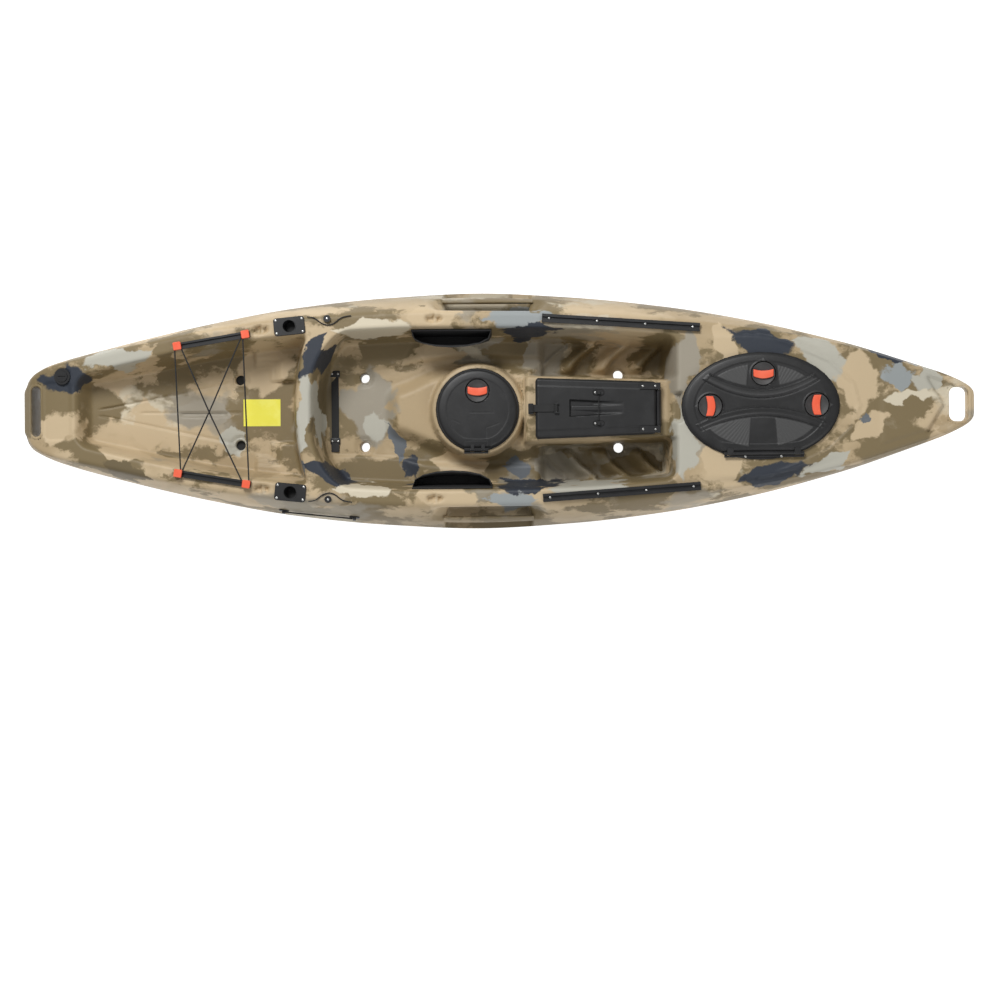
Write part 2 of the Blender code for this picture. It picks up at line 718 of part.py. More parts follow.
def hull_bottom():
    """The lower shell, up to the parting line, with its wheel housing."""
    half = LENGTH / 2

    def section(x):
        return [*lower_half(x), (0.0, parting_line(x / STRETCH_X))]

    skin = hull_skin("hull_bottom", -half, half, section)
    shell = add_object("hull_bottom", skin, HULL_TAN)
    cuts = [inner_skin("bottom_hollow", WALL)]
    cuts += carrying_slots("bottom")
    cuts += scuppers("bottom_scupper", SCUPPER_RADIUS + SCUPPER_WALL + GAP, -0.05, 0.02)
    combine(shell, "DIFFERENCE", cuts)
    combine(shell, "UNION", [wheel_fin(), wheel_pocket("wheel_pocket_wall", WALL)])
    bore = helper(cylinder("axle_bore", AXLE_RADIUS + GAP, -0.05, 0.05, count=20))
    bore.matrix_world = wheel_place()
    return combine(shell, "DIFFERENCE", [wheel_pocket("wheel_pocket", 0.0), bore])


def carrying_slots(prefix):
    """The hand slots that go right through the bow and the stern."""
    stern = rounded_box(SLOT_LENGTH, STERN_SLOT_WIDTH, 0.018, 4, (along(STERN_SLOT_X), 0.0))
    bow = rounded_box(BOW_SLOT_LENGTH, BOW_SLOT_WIDTH, 0.024, 4, (along(BOW_SLOT_X), 0.0))
    slots = (("stern", stern), ("bow", bow))
    return [helper(prism(f"{prefix}_{end}_slot", [(outline, -0.1), (outline, 0.5)])) for end, outline in slots]


def wheel_place():
    """Turns a solid made along Z onto the axle."""
    return Matrix.Translation((along(WHEEL_X), 0.0, WHEEL_RADIUS)) @ Matrix.Rotation(radians(-90), 4, "X")


def wheel_fin():
    """The fairing under the keel that carries the axle."""
    rings = []
    for drawn, low, half in FIN:
        x = along(drawn)
        top = max(keel_line(drawn), low) + 0.012
        edge = min(0.010, 0.4 * (top - low))
        side = [(half, top), (-half, top), (-half, low + edge), (0.7 * -half, low), (0.7 * half, low), (half, low + edge)]
        rings.append([(x, y, z) for y, z in side])
    return helper(loft("wheel_fin", rings))


def wheel_pocket(name, grow):
    """The pocket the wheel turns in, open below; grow makes the outside of its walls."""
    radius = WHEEL_RADIUS + WHEEL_CLEARANCE + grow
    half = WHEEL_WIDTH / 2 + WHEEL_CLEARANCE + grow
    low = 0.040 if grow else -0.05
    x = along(WHEEL_X)
    arch = [(x + radius * cos(pi * i / 18), WHEEL_RADIUS + radius * sin(pi * i / 18)) for i in range(19)]
    side = [(x + radius, low), *arch, (x - radius, low)]
    return helper(loft(name, [[(px, y, pz) for px, pz in side] for y in (-half, half)]))


def inner_skin(name, inset):
    """The hollow inside the whole hull."""
    aft, fore = (along(x) for x in HOLLOW)

    def section(x):
        lower = lower_half(x, inset)
        return lower + upper_half(x, inset)[1:]

    return helper(hull_skin(name, aft, fore, section))


def hull_deck():
    """The upper shell with every well, scupper tube and opening."""
    half = LENGTH / 2

    def section(x):
        parting = parting_line(x / STRETCH_X) + GAP
        upper = upper_half(x)
        return [(0.0, parting), (upper[0][0], parting), *upper[1:]]

    shell = add_object("hull_deck", hull_skin("hull_deck", -half, half, section), HULL_TAN)
    walls = deck_wells("wall", WALL) + tie_down_pockets("tie_down_wall", 0.004)
    walls += [side_scallop(f"scallop_wall_{hand}", side, WALL) for side, hand in ((1, "port"), (-1, "starboard"))]
    trimmed = combine(walls[0], "UNION", walls[1:])
    combine(trimmed, "INTERSECT", [inner_skin("wall_trim", WALL / 2)])
    combine(shell, "DIFFERENCE", [inner_skin("deck_hollow", WALL)])
    tubes = scuppers("scupper_tube", SCUPPER_RADIUS + SCUPPER_WALL, 0.0015, -WALL / 2)
    combine(shell, "UNION", [trimmed, *tubes])
    cuts = deck_wells("cut", 0.0) + tie_down_pockets("tie_down", 0.0)
    cuts += [side_scallop(f"scallop_{hand}", side, 0.0) for side, hand in ((1, "port"), (-1, "starboard"))]
    cuts += scuppers("scupper_bore", SCUPPER_RADIUS, -0.05, 0.02)
    cuts += deck_openings()
    return combine(shell, "DIFFERENCE", cuts)


def deck_openings():
    """Holes through the deck for the hatches, console, rod holders, drain and carrying slots."""
    cuts = carrying_slots("deck")
    oval = ellipse(BOW_OPENING_A + HATCH_COLLAR + GAP, BOW_OPENING_B + HATCH_COLLAR + GAP, 40)
    hatch = helper(prism("bow_opening", [(oval, -0.05), (oval, 0.1)]))
    hatch.matrix_world = bow_hatch_place()
    cuts.append(hatch)
    round_hole = MID_OPENING_RADIUS + HATCH_COLLAR + GAP
    cuts.append(helper(cylinder("mid_opening", round_hole, 0.17, 0.3, (along(MID_HATCH_X), 0.0), 36)))
    x, width, length = tray_box()
    hole = rounded_box(length + 2 * GAP, width + 2 * GAP, 0.012, 3, (x, 0.0))
    cuts.append(helper(prism("tray_opening", [(hole, CONSOLE_TOP - 0.05), (hole, 0.4)])))
    for side, hand in ((1, "port"), (-1, "starboard")):
        radius = ROD_BORE_RADIUS + ROD_TUBE_WALL + 2 * GAP
        bore = helper(cylinder(f"rod_opening_{hand}", radius, -0.05, 0.05, count=24))
        bore.matrix_world = rod_place(side) @ Matrix.Rotation(-ROD_TILT, 4, "Y")
        cuts.append(bore)
    drain_x, drain_y = along(DRAIN[0]), across(DRAIN[1])
    cuts.append(helper(cylinder("drain_opening", DRAIN_PLUG_RADIUS + 0.003, 0.2, 0.4, (drain_x, drain_y), 24)))
    return cuts


# ---------------------------------------------------------------- hatches


def bow_hatch_place():
    """The bow hatch's own frame: on the fore deck's plane, with its X towards the bow."""
    x = along(BOW_HATCH_X)
    slope = atan2(deck_height(x + 0.05) - deck_height(x - 0.05), 0.1)
    return Matrix.Translation((x, 0.0, deck_height(x))) @ Matrix.Rotation(-slope, 4, "Y")


def mid_hatch_place():
    return Matrix.Translation((along(MID_HATCH_X), 0.0, PLINTH_TOP))


def placed(name, mesh, finish, place, smooth=True):
    obj = add_object(name, mesh, finish, smooth)
    obj.matrix_world = place
    return obj


def ring_solid(name, outer, inner, bottom, top):
    """A flat ring between two outlines, as one closed solid."""
    solid = prism(name, [(outer, bottom), (outer, top)])
    hole = prism(f"{name}_hole", [(inner, bottom - 0.01), (inner, top + 0.01)])
    return solid, hole


def hinge_height():
    """Height of a hatch's hinge line over the deck."""
    return HATCH_FRAME_HEIGHT + KNUCKLE_RADIUS + 2 * GAP


def hatch_frame(name, place, outer, opening, count):
    """A flange on the deck with a collar that drops through the opening."""
    outer_a, outer_b = outer
    a, b = opening
    collar = ellipse(a + HATCH_COLLAR, b + HATCH_COLLAR, count)
    rim = ellipse(outer_a, outer_b, count)
    shape = prism(name, [(collar, -HATCH_COLLAR_DEPTH), (collar, 0.004)])
    flange = prism(f"{name}_flange", [(rim, GAP), (rim, 0.005), (offset(rim, -0.003), HATCH_FRAME_HEIGHT)])
    hole = prism(f"{name}_hole", [(ellipse(a, b, count), -0.1), (ellipse(a, b, count), 0.1)])
    obj = placed(name, shape, BLACK_PLASTIC, place)
    for mesh, operation in ((flange, "UNION"), (hole, "DIFFERENCE")):
        other = helper(mesh)
        other.matrix_world = place
        combine(obj, operation, [other])
    return obj


def hatch_seal(name, place, opening, count):
    a, b = opening
    inner = ellipse(a + 0.004, b + 0.004, count)
    outer = ellipse(a + 0.004 + SEAL_WIDTH, b + 0.004 + SEAL_WIDTH, count)
    bottom = HATCH_FRAME_HEIGHT + GAP
    solid, hole = ring_solid(name, outer, inner, bottom, bottom + SEAL_HEIGHT)
    obj = placed(name, solid, BLACK_RUBBER, place)
    cutter = helper(hole)
    cutter.matrix_world = place
    return combine(obj, "DIFFERENCE", [cutter])


def hatch_lid(name, place, size, crown, pockets, hinge_y, knuckles, count):
    """A crowned lid, cut straight along its hinge side, with latch pockets and hinge knuckles."""
    a, b = size
    base = HATCH_FRAME_HEIGHT + 2 * GAP + SEAL_HEIGHT
    skirt = HATCH_FRAME_HEIGHT + 2 * GAP
    top = base + crown
    profile = [(1.0, skirt), (1.0, base + 0.35 * crown), (0.965, base + 0.65 * crown), (0.80, base + 0.92 * crown),
               (0.40, top)]
    outlines = [(ellipse(a * share, b * share, count), height) for share, height in profile]
    obj = placed(name, prism(name, outlines), BLACK_PLASTIC, place)
    cuts = []
    seat = offset(ellipse(a, b, count), -0.0035)
    cuts.append(prism(f"{name}_seat", [(seat, skirt - 0.01), (seat, base + GAP)]))
    cuts.append(box(f"{name}_edge", (-1.0, -1.0, -0.1), (1.0, hinge_y + KNUCKLE_RADIUS + 0.003, 0.1)))
    for number, (x, y) in enumerate(pockets):
        floor = top - LATCH_HEIGHT
        cuts.append(cylinder(f"{name}_pocket_{number}", LATCH_RADIUS + 0.0012, floor, 0.1, (x, y), 28))
        cuts.append(cylinder(f"{name}_shaft_hole_{number}", 0.0075, -0.05, 0.1, (x, y), 16))
    joins = [lug(f"{name}_knuckle_{number}", low, high, hinge_y) for number, (low, high) in enumerate(knuckles)]
    bore = cylinder(f"{name}_bore", HINGE_PIN_RADIUS + GAP, -0.4, 0.4, count=12)
    turned(bore, "X", (0.0, hinge_y, hinge_height()))
    steps = [(mesh, "DIFFERENCE") for mesh in cuts] + [(mesh, "UNION") for mesh in joins] + [(bore, "DIFFERENCE")]
    for mesh, operation in steps:
        other = helper(mesh)
        other.matrix_world = place
        combine(obj, operation, [other])
    return obj


def lug(name, low, high, hinge_y):
    """One knuckle of a lid: a barrel on the hinge line and the arm that joins it to the lid."""
    height = hinge_height()
    points = [(hinge_y + KNUCKLE_RADIUS * cos(t), height + KNUCKLE_RADIUS * sin(t))
              for t in (pi / 2 + pi * i / 8 for i in range(9))]
    arm = [(hinge_y + KNUCKLE_RADIUS + 0.010, height - KNUCKLE_RADIUS * 0.2),
           (hinge_y + KNUCKLE_RADIUS + 0.010, height + KNUCKLE_RADIUS)]
    side = points + arm
    return loft(name, [[(x, y, z) for y, z in side] for x in (low, high)])


def hinge_base(name, place, hinge_y, span, notches):
    """The fixed half of a hatch hinge: a plate on the frame with barrels between the lid's knuckles."""
    height = hinge_height()
    outer = hinge_y - KNUCKLE_RADIUS - 0.007
    foot = HATCH_FRAME_HEIGHT + GAP
    radius = KNUCKLE_RADIUS
    side = [(outer, foot), (outer, height - 0.003), (hinge_y - radius - 0.001, height - 0.003),
            (hinge_y - 0.7 * radius, height + 0.7 * radius), (hinge_y, height + radius),
            (hinge_y + 0.9 * radius, height + 0.3 * radius), (hinge_y + 0.9 * radius, foot)]
    obj = placed(name, loft(name, [[(x, y, z) for y, z in side] for x in span]), BLACK_PLASTIC, place)
    cuts = []
    for number, (low, high) in enumerate(notches):
        cuts.append(box(f"{name}_notch_{number}", (low - 0.0006, hinge_y - KNUCKLE_RADIUS - 0.0012, 0.0),
                        (high + 0.0006, 1.0, 0.1)))
    bore = cylinder(f"{name}_bore", HINGE_PIN_RADIUS + GAP, -0.4, 0.4, count=12)
    cuts.append(turned(bore, "X", (0.0, hinge_y, height)))
    for mesh in cuts:
        other = helper(mesh)
        other.matrix_world = place
        combine(obj, "DIFFERENCE", [other])
    return obj


def hinge_pin(name, place, hinge_y, span):
    pin = cylinder(name, HINGE_PIN_RADIUS, span[0], span[1], count=12)
    turned(pin, "X", (0.0, hinge_y, hinge_height()))
    return placed(name, pin, STEEL, place)


def latch(name, place, x, y, crown, turn):
    """A quarter-turn latch: a dished disc with a grip bar, on a short shaft through the lid."""
    base = HATCH_FRAME_HEIGHT + 2 * GAP + SEAL_HEIGHT
    floor = base + crown - LATCH_HEIGHT + GAP
    disc = cylinder(name, LATCH_RADIUS, floor, floor + 0.0045, count=28)
    here = place @ Matrix.Translation((x, y, 0.0)) @ Matrix.Rotation(turn, 4, "Z")
    obj = placed(name, disc, ORANGE_PLASTIC, here)
    shaft = cylinder(f"{name}_shaft", 0.0068, HATCH_FRAME_HEIGHT - 0.004, floor + 0.002, count=16)
    grip = rounded_box(1.7 * LATCH_RADIUS, 0.6 * LATCH_RADIUS, 0.006, 3)
    bar = prism(f"{name}_grip", [(grip, floor + 0.002), (offset(grip, -0.002), floor + LATCH_HEIGHT)])
    for mesh in (shaft, bar):
        other = helper(mesh)
        other.matrix_world = here
        combine(obj, "UNION", [other])
    return obj


def bow_hatch():
    place = bow_hatch_place()
    opening = (BOW_OPENING_A, BOW_OPENING_B)
    hatch_frame("bow_hatch_frame", place, (BOW_HATCH_A, BOW_HATCH_B), opening, 40)
    hatch_seal("bow_hatch_seal", place, opening, 40)
    size = (BOW_HATCH_A - 0.006, BOW_HATCH_B - 0.006)
    pockets = [(x, y) for _, x, y, _ in BOW_LATCHES]
    hatch_lid("bow_hatch_lid", place, size, BOW_CROWN, pockets, BOW_HINGE_Y, BOW_KNUCKLES, 40)
    hinge_base("bow_hinge_base", place, BOW_HINGE_Y, BOW_HINGE_SPAN, BOW_KNUCKLES)
    hinge_pin("bow_hinge_pin", place, BOW_HINGE_Y, BOW_HINGE_SPAN)
    for hand, x, y, turn in BOW_LATCHES:
        latch(f"bow_latch_{hand}", place, x, y, BOW_CROWN, turn)


def mid_hatch():
    place = mid_hatch_place()
    opening = (MID_OPENING_RADIUS, MID_OPENING_RADIUS)
    hatch_frame("mid_hatch_frame", place, (MID_FRAME_RADIUS, MID_FRAME_RADIUS), opening, 36)
    hatch_seal("mid_hatch_seal", place, opening, 36)
    size = (MID_LID_RADIUS, MID_LID_RADIUS)
    hatch_lid("mid_hatch_lid", place, size, MID_CROWN, [(0.0, MID_LATCH_Y)], MID_HINGE_Y, MID_KNUCKLES, 36)
    hinge_base("mid_hinge_base", place, MID_HINGE_Y, MID_HINGE_SPAN, MID_KNUCKLES)
    hinge_pin("mid_hinge_pin", place, MID_HINGE_Y, MID_HINGE_SPAN)
    latch("mid_latch", place, 0.0, MID_LATCH_Y, MID_CROWN, 0.0)


# ---------------------------------------------------------------- console


def tray_box():
    """Middle, width and length of the console's tray."""
    middle = along(CONSOLE_AFT_X) + CONSOLE_LENGTH / 2
    return middle, CONSOLE_FORE_WIDTH - 0.030, CONSOLE_LENGTH - 0.050


def console_outline(inset):
    """The lid's plan, wider at its aft end."""
    aft, fore = 0.0, CONSOLE_LENGTH
    wide, narrow = CONSOLE_AFT_WIDTH / 2, CONSOLE_FORE_WIDTH / 2
    corner = 0.012
    half = [(fore, 0.0), (fore, narrow - corner), (fore - 0.3 * corner, narrow - 0.3 * corner), (fore - corner, narrow),
            (aft + corner, wide), (aft + 0.3 * corner, wide - 0.3 * corner), (aft, wide - corner), (aft, 0.0)]
    outline = half + [(x, -y) for x, y in reversed(half) if y > 1e-9]
    return offset(outline, -inset)


def console():
    aft = along(CONSOLE_AFT_X)
    place = Matrix.Translation((aft, 0.0, CONSOLE_TOP))
    top = CONSOLE_HEIGHT
    shape = [(console_outline(0.0), 0.0015), (console_outline(0.0), top - 0.009), (console_outline(0.006), top)]
    lid = placed("console_lid", prism("console_lid", shape), BLACK_PLASTIC, place, smooth=False)
    inner = [(console_outline(CONSOLE_SKIN), -0.01), (console_outline(CONSOLE_SKIN), top - 0.011),
             (console_outline(0.008), top - CONSOLE_SKIN)]
    hollow = helper(prism("console_hollow", inner))
    hollow.matrix_world = place
    combine(lid, "DIFFERENCE", [hollow])
    console_tray()
    console_hinge(aft + CONSOLE_LENGTH + 0.0085)
    console_strap(aft)
    console_cord(aft)


def console_tray():
    middle, width, length = tray_box()
    outline = rounded_box(length, width, 0.012, 3, (middle, 0.0))
    rim = rounded_box(length + 0.012, width + 0.012, 0.014, 3, (middle, 0.0))
    base = CONSOLE_TOP + GAP
    tub = prism("console_tray", [(offset(outline, -0.006), base - TRAY_DEPTH), (outline, base + 0.001)])
    obj = add_object("console_tray", tub, BLACK_PLASTIC)
    flange = helper(prism("tray_flange", [(rim, base), (rim, base + TRAY_WALL)]))
    inside = [(offset(outline, -0.006 - TRAY_WALL), base - TRAY_DEPTH + TRAY_WALL), (offset(outline, -TRAY_WALL), 0.3)]
    combine(obj, "UNION", [flange])
    combine(obj, "DIFFERENCE", [helper(prism("tray_inside", inside))])


def console_hinge(x):
    """Two leaves on the lid's fore corners turn on a pin held by a block on the deck."""
    axis_z = CONSOLE_TOP + CONSOLE_HINGE_RISE
    radius = 0.006
    lid_top = CONSOLE_TOP + CONSOLE_HEIGHT
    place = Matrix.Translation((x, 0.0, axis_z))
    block_half = CONSOLE_FORE_WIDTH / 2 - 0.028
    side = [(-radius, CONSOLE_TOP + GAP - axis_z), (radius + 0.006, CONSOLE_TOP + GAP - axis_z), (radius, radius * 0.4),
            (0.0, radius), (-radius, radius * 0.4)]
    mount = loft("console_hinge_mount", [[(px, y, pz) for px, pz in side] for y in (-block_half, block_half)])
    mount_obj = placed("console_hinge_mount", mount, BLACK_PLASTIC, place, smooth=False)
    bore = helper(turned(cylinder("console_bore", HINGE_PIN_RADIUS + GAP, -0.3, 0.3, count=12), "Y"))
    bore.matrix_world = place
    combine(mount_obj, "DIFFERENCE", [bore])
    reach = CONSOLE_FORE_WIDTH / 2 - 0.003
    pin = turned(cylinder("console_hinge_pin", HINGE_PIN_RADIUS, -reach, reach, count=12), "Y")
    placed("console_hinge_pin", pin, STEEL, place)
    rise = lid_top + GAP - axis_z
    leaf_side = [(-0.064, rise), (-0.0078, rise), (-0.0078, 0.0), (-radius * 0.7, -radius * 0.7), (0.0, -radius),
                 (radius * 0.7, -radius * 0.7), (radius, 0.0), (radius, rise), (radius - 0.002, rise + 0.003),
                 (-0.064, rise + 0.003)]
    for sign, hand in ((1, "port"), (-1, "starboard")):
        low, high = sorted((sign * (block_half + 0.0015), sign * (reach - 0.001)))
        leaf = loft(f"console_leaf_{hand}", [[(px, y, pz) for px, pz in leaf_side] for y in (low, high)])
        obj = placed(f"console_leaf_{hand}", leaf, BLACK_PLASTIC, place, smooth=False)
        combine(obj, "DIFFERENCE", [bore])


def console_strap(aft):
    """A rubber strap on the lid whose free end folds down over the edge and lies on a catch on the deck."""
    axis_z = CONSOLE_TOP + CONSOLE_HEIGHT + STRAP_RADIUS + 2 * GAP
    place = Matrix.Translation((aft + STRAP_PIVOT, 0.0, axis_z))
    radius, half, thick = STRAP_RADIUS, STRAP_WIDTH / 2, STRAP_THICKNESS
    low = -radius
    fold = -STRAP_PIVOT - 0.0045
    catch_top = 0.0100
    drop = CONSOLE_TOP + catch_top + GAP - axis_z
    side = [(radius, 0.0), (0.7 * radius, 0.7 * radius), (0.0, radius), (-0.7 * radius, 0.7 * radius),
            (-2 * radius, low + thick), (fold, low + thick), (fold - thick, low), (fold - thick, drop + thick),
            (fold - 0.018, drop + thick), (fold - 0.018, drop), (fold, drop), (fold, low), (0.0, low),
            (0.7 * radius, -0.7 * radius)]
    strap = loft("console_strap", [[(px, y, pz) for px, pz in side] for y in (-half, half)])
    strap_obj = placed("console_strap", strap, BLACK_RUBBER, place, smooth=False)
    bore = helper(turned(cylinder("strap_bore", 0.0023, -0.1, 0.1, count=12), "Y"))
    bore.matrix_world = place
    combine(strap_obj, "DIFFERENCE", [bore])
    outer = half + 0.0055
    base = CONSOLE_TOP + CONSOLE_HEIGHT + GAP - axis_z
    clip = box("strap_clip", (-0.007, -outer, base), (0.007, outer, 0.0035))
    clip_obj = placed("strap_clip", clip, BLACK_PLASTIC, place, smooth=False)
    notch = helper(box("strap_notch", (-0.0053, -half - 0.0008, -0.1), (0.1, half + 0.0008, 0.1)))
    notch.matrix_world = place
    end = helper(box("strap_way", (-0.1, -half - 0.0008, low - 0.0001), (0.0, half + 0.0008, 0.1)))
    end.matrix_world = place
    combine(clip_obj, "DIFFERENCE", [notch, end, bore])
    pin = turned(cylinder("strap_pin", 0.002, -outer + 0.0005, outer - 0.0005, count=12), "Y")
    placed("strap_pin", pin, STEEL, place)
    catch = rounded_box(0.018, 0.036, 0.004, 3, (aft - 0.0155, 0.0))
    catch_mesh = prism("strap_catch", [(catch, CONSOLE_TOP + GAP), (catch, CONSOLE_TOP + catch_top)])
    add_object("strap_catch", catch_mesh, BLACK_PLASTIC)


def console_cord(aft):
    """A short shock cord held between two deck eyes on the lid."""
    x = aft + 0.2115
    top = CONSOLE_TOP + CONSOLE_HEIGHT
    reach = CONSOLE_FORE_WIDTH / 2 - 0.036
    for sign, hand in ((1, "port"), (-1, "starboard")):
        deck_eye(f"console_eye_{hand}", Matrix.Translation((x, sign * reach, top + GAP)), 0.040, 0.020)
    end = reach - 0.010 - GAP
    tube("console_cord", [(x, end, top + 0.005), (x, 0.0, top + 0.0045), (x, -end, top + 0.005)], 0.0015, BLACK_CORD)


def deck_eye(name, place, length, width):
    """A moulded pad with an arched eye across its middle."""
    plate = rounded_box(length, width, width / 2 - 0.0005, 5)
    pad = prism(name, [(plate, 0.0), (offset(plate, -0.002), 0.003)])
    obj = placed(name, pad, BLACK_PLASTIC, place)
    arch = rounded_box(0.012, width * 0.7, 0.003, 2)
    block = prism(f"{name}_arch", [(arch, 0.001), (offset(arch, -0.001), 0.011)])
    hole = turned(cylinder(f"{name}_hole", 0.0030, -0.05, 0.05, count=12), "X", (0.0, 0.0, 0.0058))
    for mesh, operation in ((block, "UNION"), (hole, "DIFFERENCE")):
        other = helper(mesh)
        other.matrix_world = place
        combine(obj, operation, [other])
    return obj


# ---------------------------------------------------------------- side deck fittings


def rod_place(side):
    x = along(ROD_HOLDER_X)
    y = side * (deck_edge(x) - GUNWALE / 2 + 0.001)
    pitch = -atan2(deck_height(x + 0.06) - deck_height(x - 0.06), 0.12)
    turn = Matrix.Rotation(gunwale_yaw(x, side), 4, "Z") @ Matrix.Rotation(pitch, 4, "Y")
    return Matrix.Translation((x, y, deck_height(x) + 0.0008)) @ turn


def rod_holder(side, hand):
    """A flush rod holder: a bolted plate on a raked tube with a closed end."""
    length, width, thick = ROD_PLATE
    place = rod_place(side)
    plate = rounded_box(length, width, 0.010, 4)
    name = f"rod_holder_{hand}"
    obj = placed(name, prism(name, [(plate, 0.0), (plate, thick - 0.0015), (offset(plate, -0.0015), thick)]),
                 BLACK_PLASTIC, place)
    rake = Matrix.Rotation(-ROD_TILT, 4, "Y")
    outer = ROD_BORE_RADIUS + ROD_TUBE_WALL
    steps = (
        (cylinder(f"{name}_tube", outer, -ROD_TUBE_LENGTH, 0.002, count=24), "UNION"),
        (cylinder(f"{name}_bore", ROD_BORE_RADIUS, 0.004 - ROD_TUBE_LENGTH, 0.05, count=24), "DIFFERENCE"),
    )
    for mesh, operation in steps:
        other = helper(mesh)
        other.matrix_world = place @ rake
        combine(obj, operation, [other])
    return obj


def track(name, ends, size):
    """An extruded rail with a T slot, laid between two places on the side deck."""
    length, width, height = size
    (x0, y0), (x1, y1) = ends
    z0, z1 = deck_height(x0), deck_height(x1)
    span = hypot(x1 - x0, y1 - y0)
    yaw = atan2(y1 - y0, x1 - x0)
    pitch = -atan2(z1 - z0, span)
    lift = max(deck_height(x0 + (x1 - x0) * t) - z0 - (z1 - z0) * t for t in (0.0, 0.25, 0.5, 0.75)) + 0.0012
    middle = ((x0 + x1) / 2, (y0 + y1) / 2, (z0 + z1) / 2 + lift)
    place = Matrix.Translation(middle) @ Matrix.Rotation(yaw, 4, "Z") @ Matrix.Rotation(pitch, 4, "Y")
    half, slot, neck = width / 2, width / 2 - 0.004, TRACK_SLOT / 2
    floor, lip = 0.0025, height - TRACK_LIP
    side = [(half, 0.0), (half, height), (neck, height), (neck, lip), (slot, lip), (slot, floor), (-slot, floor),
            (-slot, lip), (-neck, lip), (-neck, height), (-half, height), (-half, 0.0)]
    rail = loft(name, [[(x, y, z) for y, z in side] for x in (-length / 2, length / 2)])
    return placed(name, rail, BLACK_PLASTIC, place, smooth=False), place


def hook(name, place, height):
    """A track hook: a foot on the rail, a post and a square head that keeps the cord down."""
    foot = rounded_box(HOOK_SIZE * 0.8, HOOK_SIZE * 0.8, 0.003, 2)
    head = rounded_box(HOOK_SIZE, HOOK_SIZE, 0.004, 3)
    base = height + GAP
    obj = placed(name, prism(name, [(foot, base), (foot, base + 0.002)]), ORANGE_PLASTIC, place)
    post = cylinder(f"{name}_post", HOOK_POST_RADIUS, base + 0.001, base + 0.009, count=16)
    cap = prism(f"{name}_head", [(head, base + 0.0085), (head, base + 0.011), (offset(head, -0.0015), base + 0.0125)])
    for mesh in (post, cap):
        other = helper(mesh)
        other.matrix_world = place
        combine(obj, "UNION", [other])
    return place @ Vector((0.0, 0.0, base + 0.0052))


def stern_rigging():
    """Two short tracks with four hooks, and one endless bungee laced round them."""
    posts = {}
    length, width, height = STERN_TRACK
    for side, hand in ((1, "port"), (-1, "starboard")):
        ends = []
        for drawn in STERN_TRACK_X:
            x = along(drawn)
            ends.append((x, side * (deck_edge(x) - GUNWALE + width / 2 + 0.006)))
        _, place = track(f"stern_track_{hand}", ends, (min(length, ends[1][0] - ends[0][0]), width, height))
        reach = (min(length, ends[1][0] - ends[0][0]) - HOOK_SIZE) / 2
        for sign, end in ((-1, "aft"), (1, "fore")):
            spot = place @ Matrix.Translation((sign * reach, 0.0, 0.0))
            posts[hand, end] = hook(f"bungee_hook_{hand}_{end}", spot, height)
    order = (("port", "aft"), ("starboard", "aft"), ("port", "fore"), ("starboard", "fore"))
    around = HOOK_POST_RADIUS + BUNGEE_RADIUS + 2 * GAP
    path = []
    for number, key in enumerate(order):
        outward = 1 if key[0] == "port" else -1
        before, after = posts[order[number - 1]], posts[order[(number + 1) % 4]]
        start, stop = (atan2(*(here - posts[key]).yx) for here in (before, after))
        arc = bend_round(posts[key], start, stop, outward, around)
        path += arc
        if key[0] == "starboard":
            middle = (Vector(arc[-1]) + after) / 2
            lift = 0.005 if key[1] == "aft" else -0.005
            path.append((middle.x, middle.y, middle.z + lift))
    tube("stern_bungee", path, BUNGEE_RADIUS, BLACK_CORD, closed=True)


def bend_round(post, start, stop, outward, radius):
    """Points of a cord that comes from the bearing start, passes the outboard side and leaves for stop."""
    out = pi / 2 * outward
    first, last = start + (pi / 2 if turn_left(start, out) else -pi / 2), stop + (pi / 2 if turn_left(stop, out) else -pi / 2)
    sweep_in, sweep_out = wrap(first - out), wrap(last - out)
    return [(post.x + radius * cos(out + t), post.y + radius * sin(out + t), post.z)
            for t in (sweep_in, sweep_in / 2, 0.0, sweep_out / 2, sweep_out)]


def wrap(angle):
    return (angle + pi) % (2 * pi) - pi


def turn_left(bearing, out):
    return wrap(out - bearing) > 0


def paddle_park(side, hand):
    """A shock cord along the side deck that dips inboard round a button."""
    x = along(BUTTON_X)
    y = side * (deck_edge(x) - 0.012)
    button = cylinder(f"cord_button_{hand}", 0.0085, 0.0, 0.006, count=20)
    obj = add_object(f"cord_button_{hand}", button, BLACK_PLASTIC, smooth=True)
    seat_on_deck(obj, x, y, 2 * GAP)
    cap = helper(cylinder(f"button_cap_{hand}", 0.012, 0.0055, 0.009, count=20))
    seat_on_deck(cap, x, y, 2 * GAP)
    combine(obj, "UNION", [cap])
    route = ((-0.066, 0.006), (-0.044, 0.003), (-0.020, -0.014), (0.002, -0.0215), (0.022, -0.016), (0.046, 0.002),
             (0.066, 0.008), (0.080, 0.010))
    points = [(x + dx, y + side * dy, deck_height(x + dx) + SMALL_CORD_RADIUS + 0.0012) for dx, dy in route]
    tube(f"paddle_cord_{hand}", smooth_path(points, 3), SMALL_CORD_RADIUS, BLACK_CORD)


def side_surface(x, z):
    """Half breadth of the hull side at this height."""
    half = upper_half(x)
    for (y0, z0), (y1, z1) in zip(half, half[1:]):
        if z0 <= z <= z1:
            return y0 + (y1 - y0) * (z - z0) / (z1 - z0)
    return half[0][0]


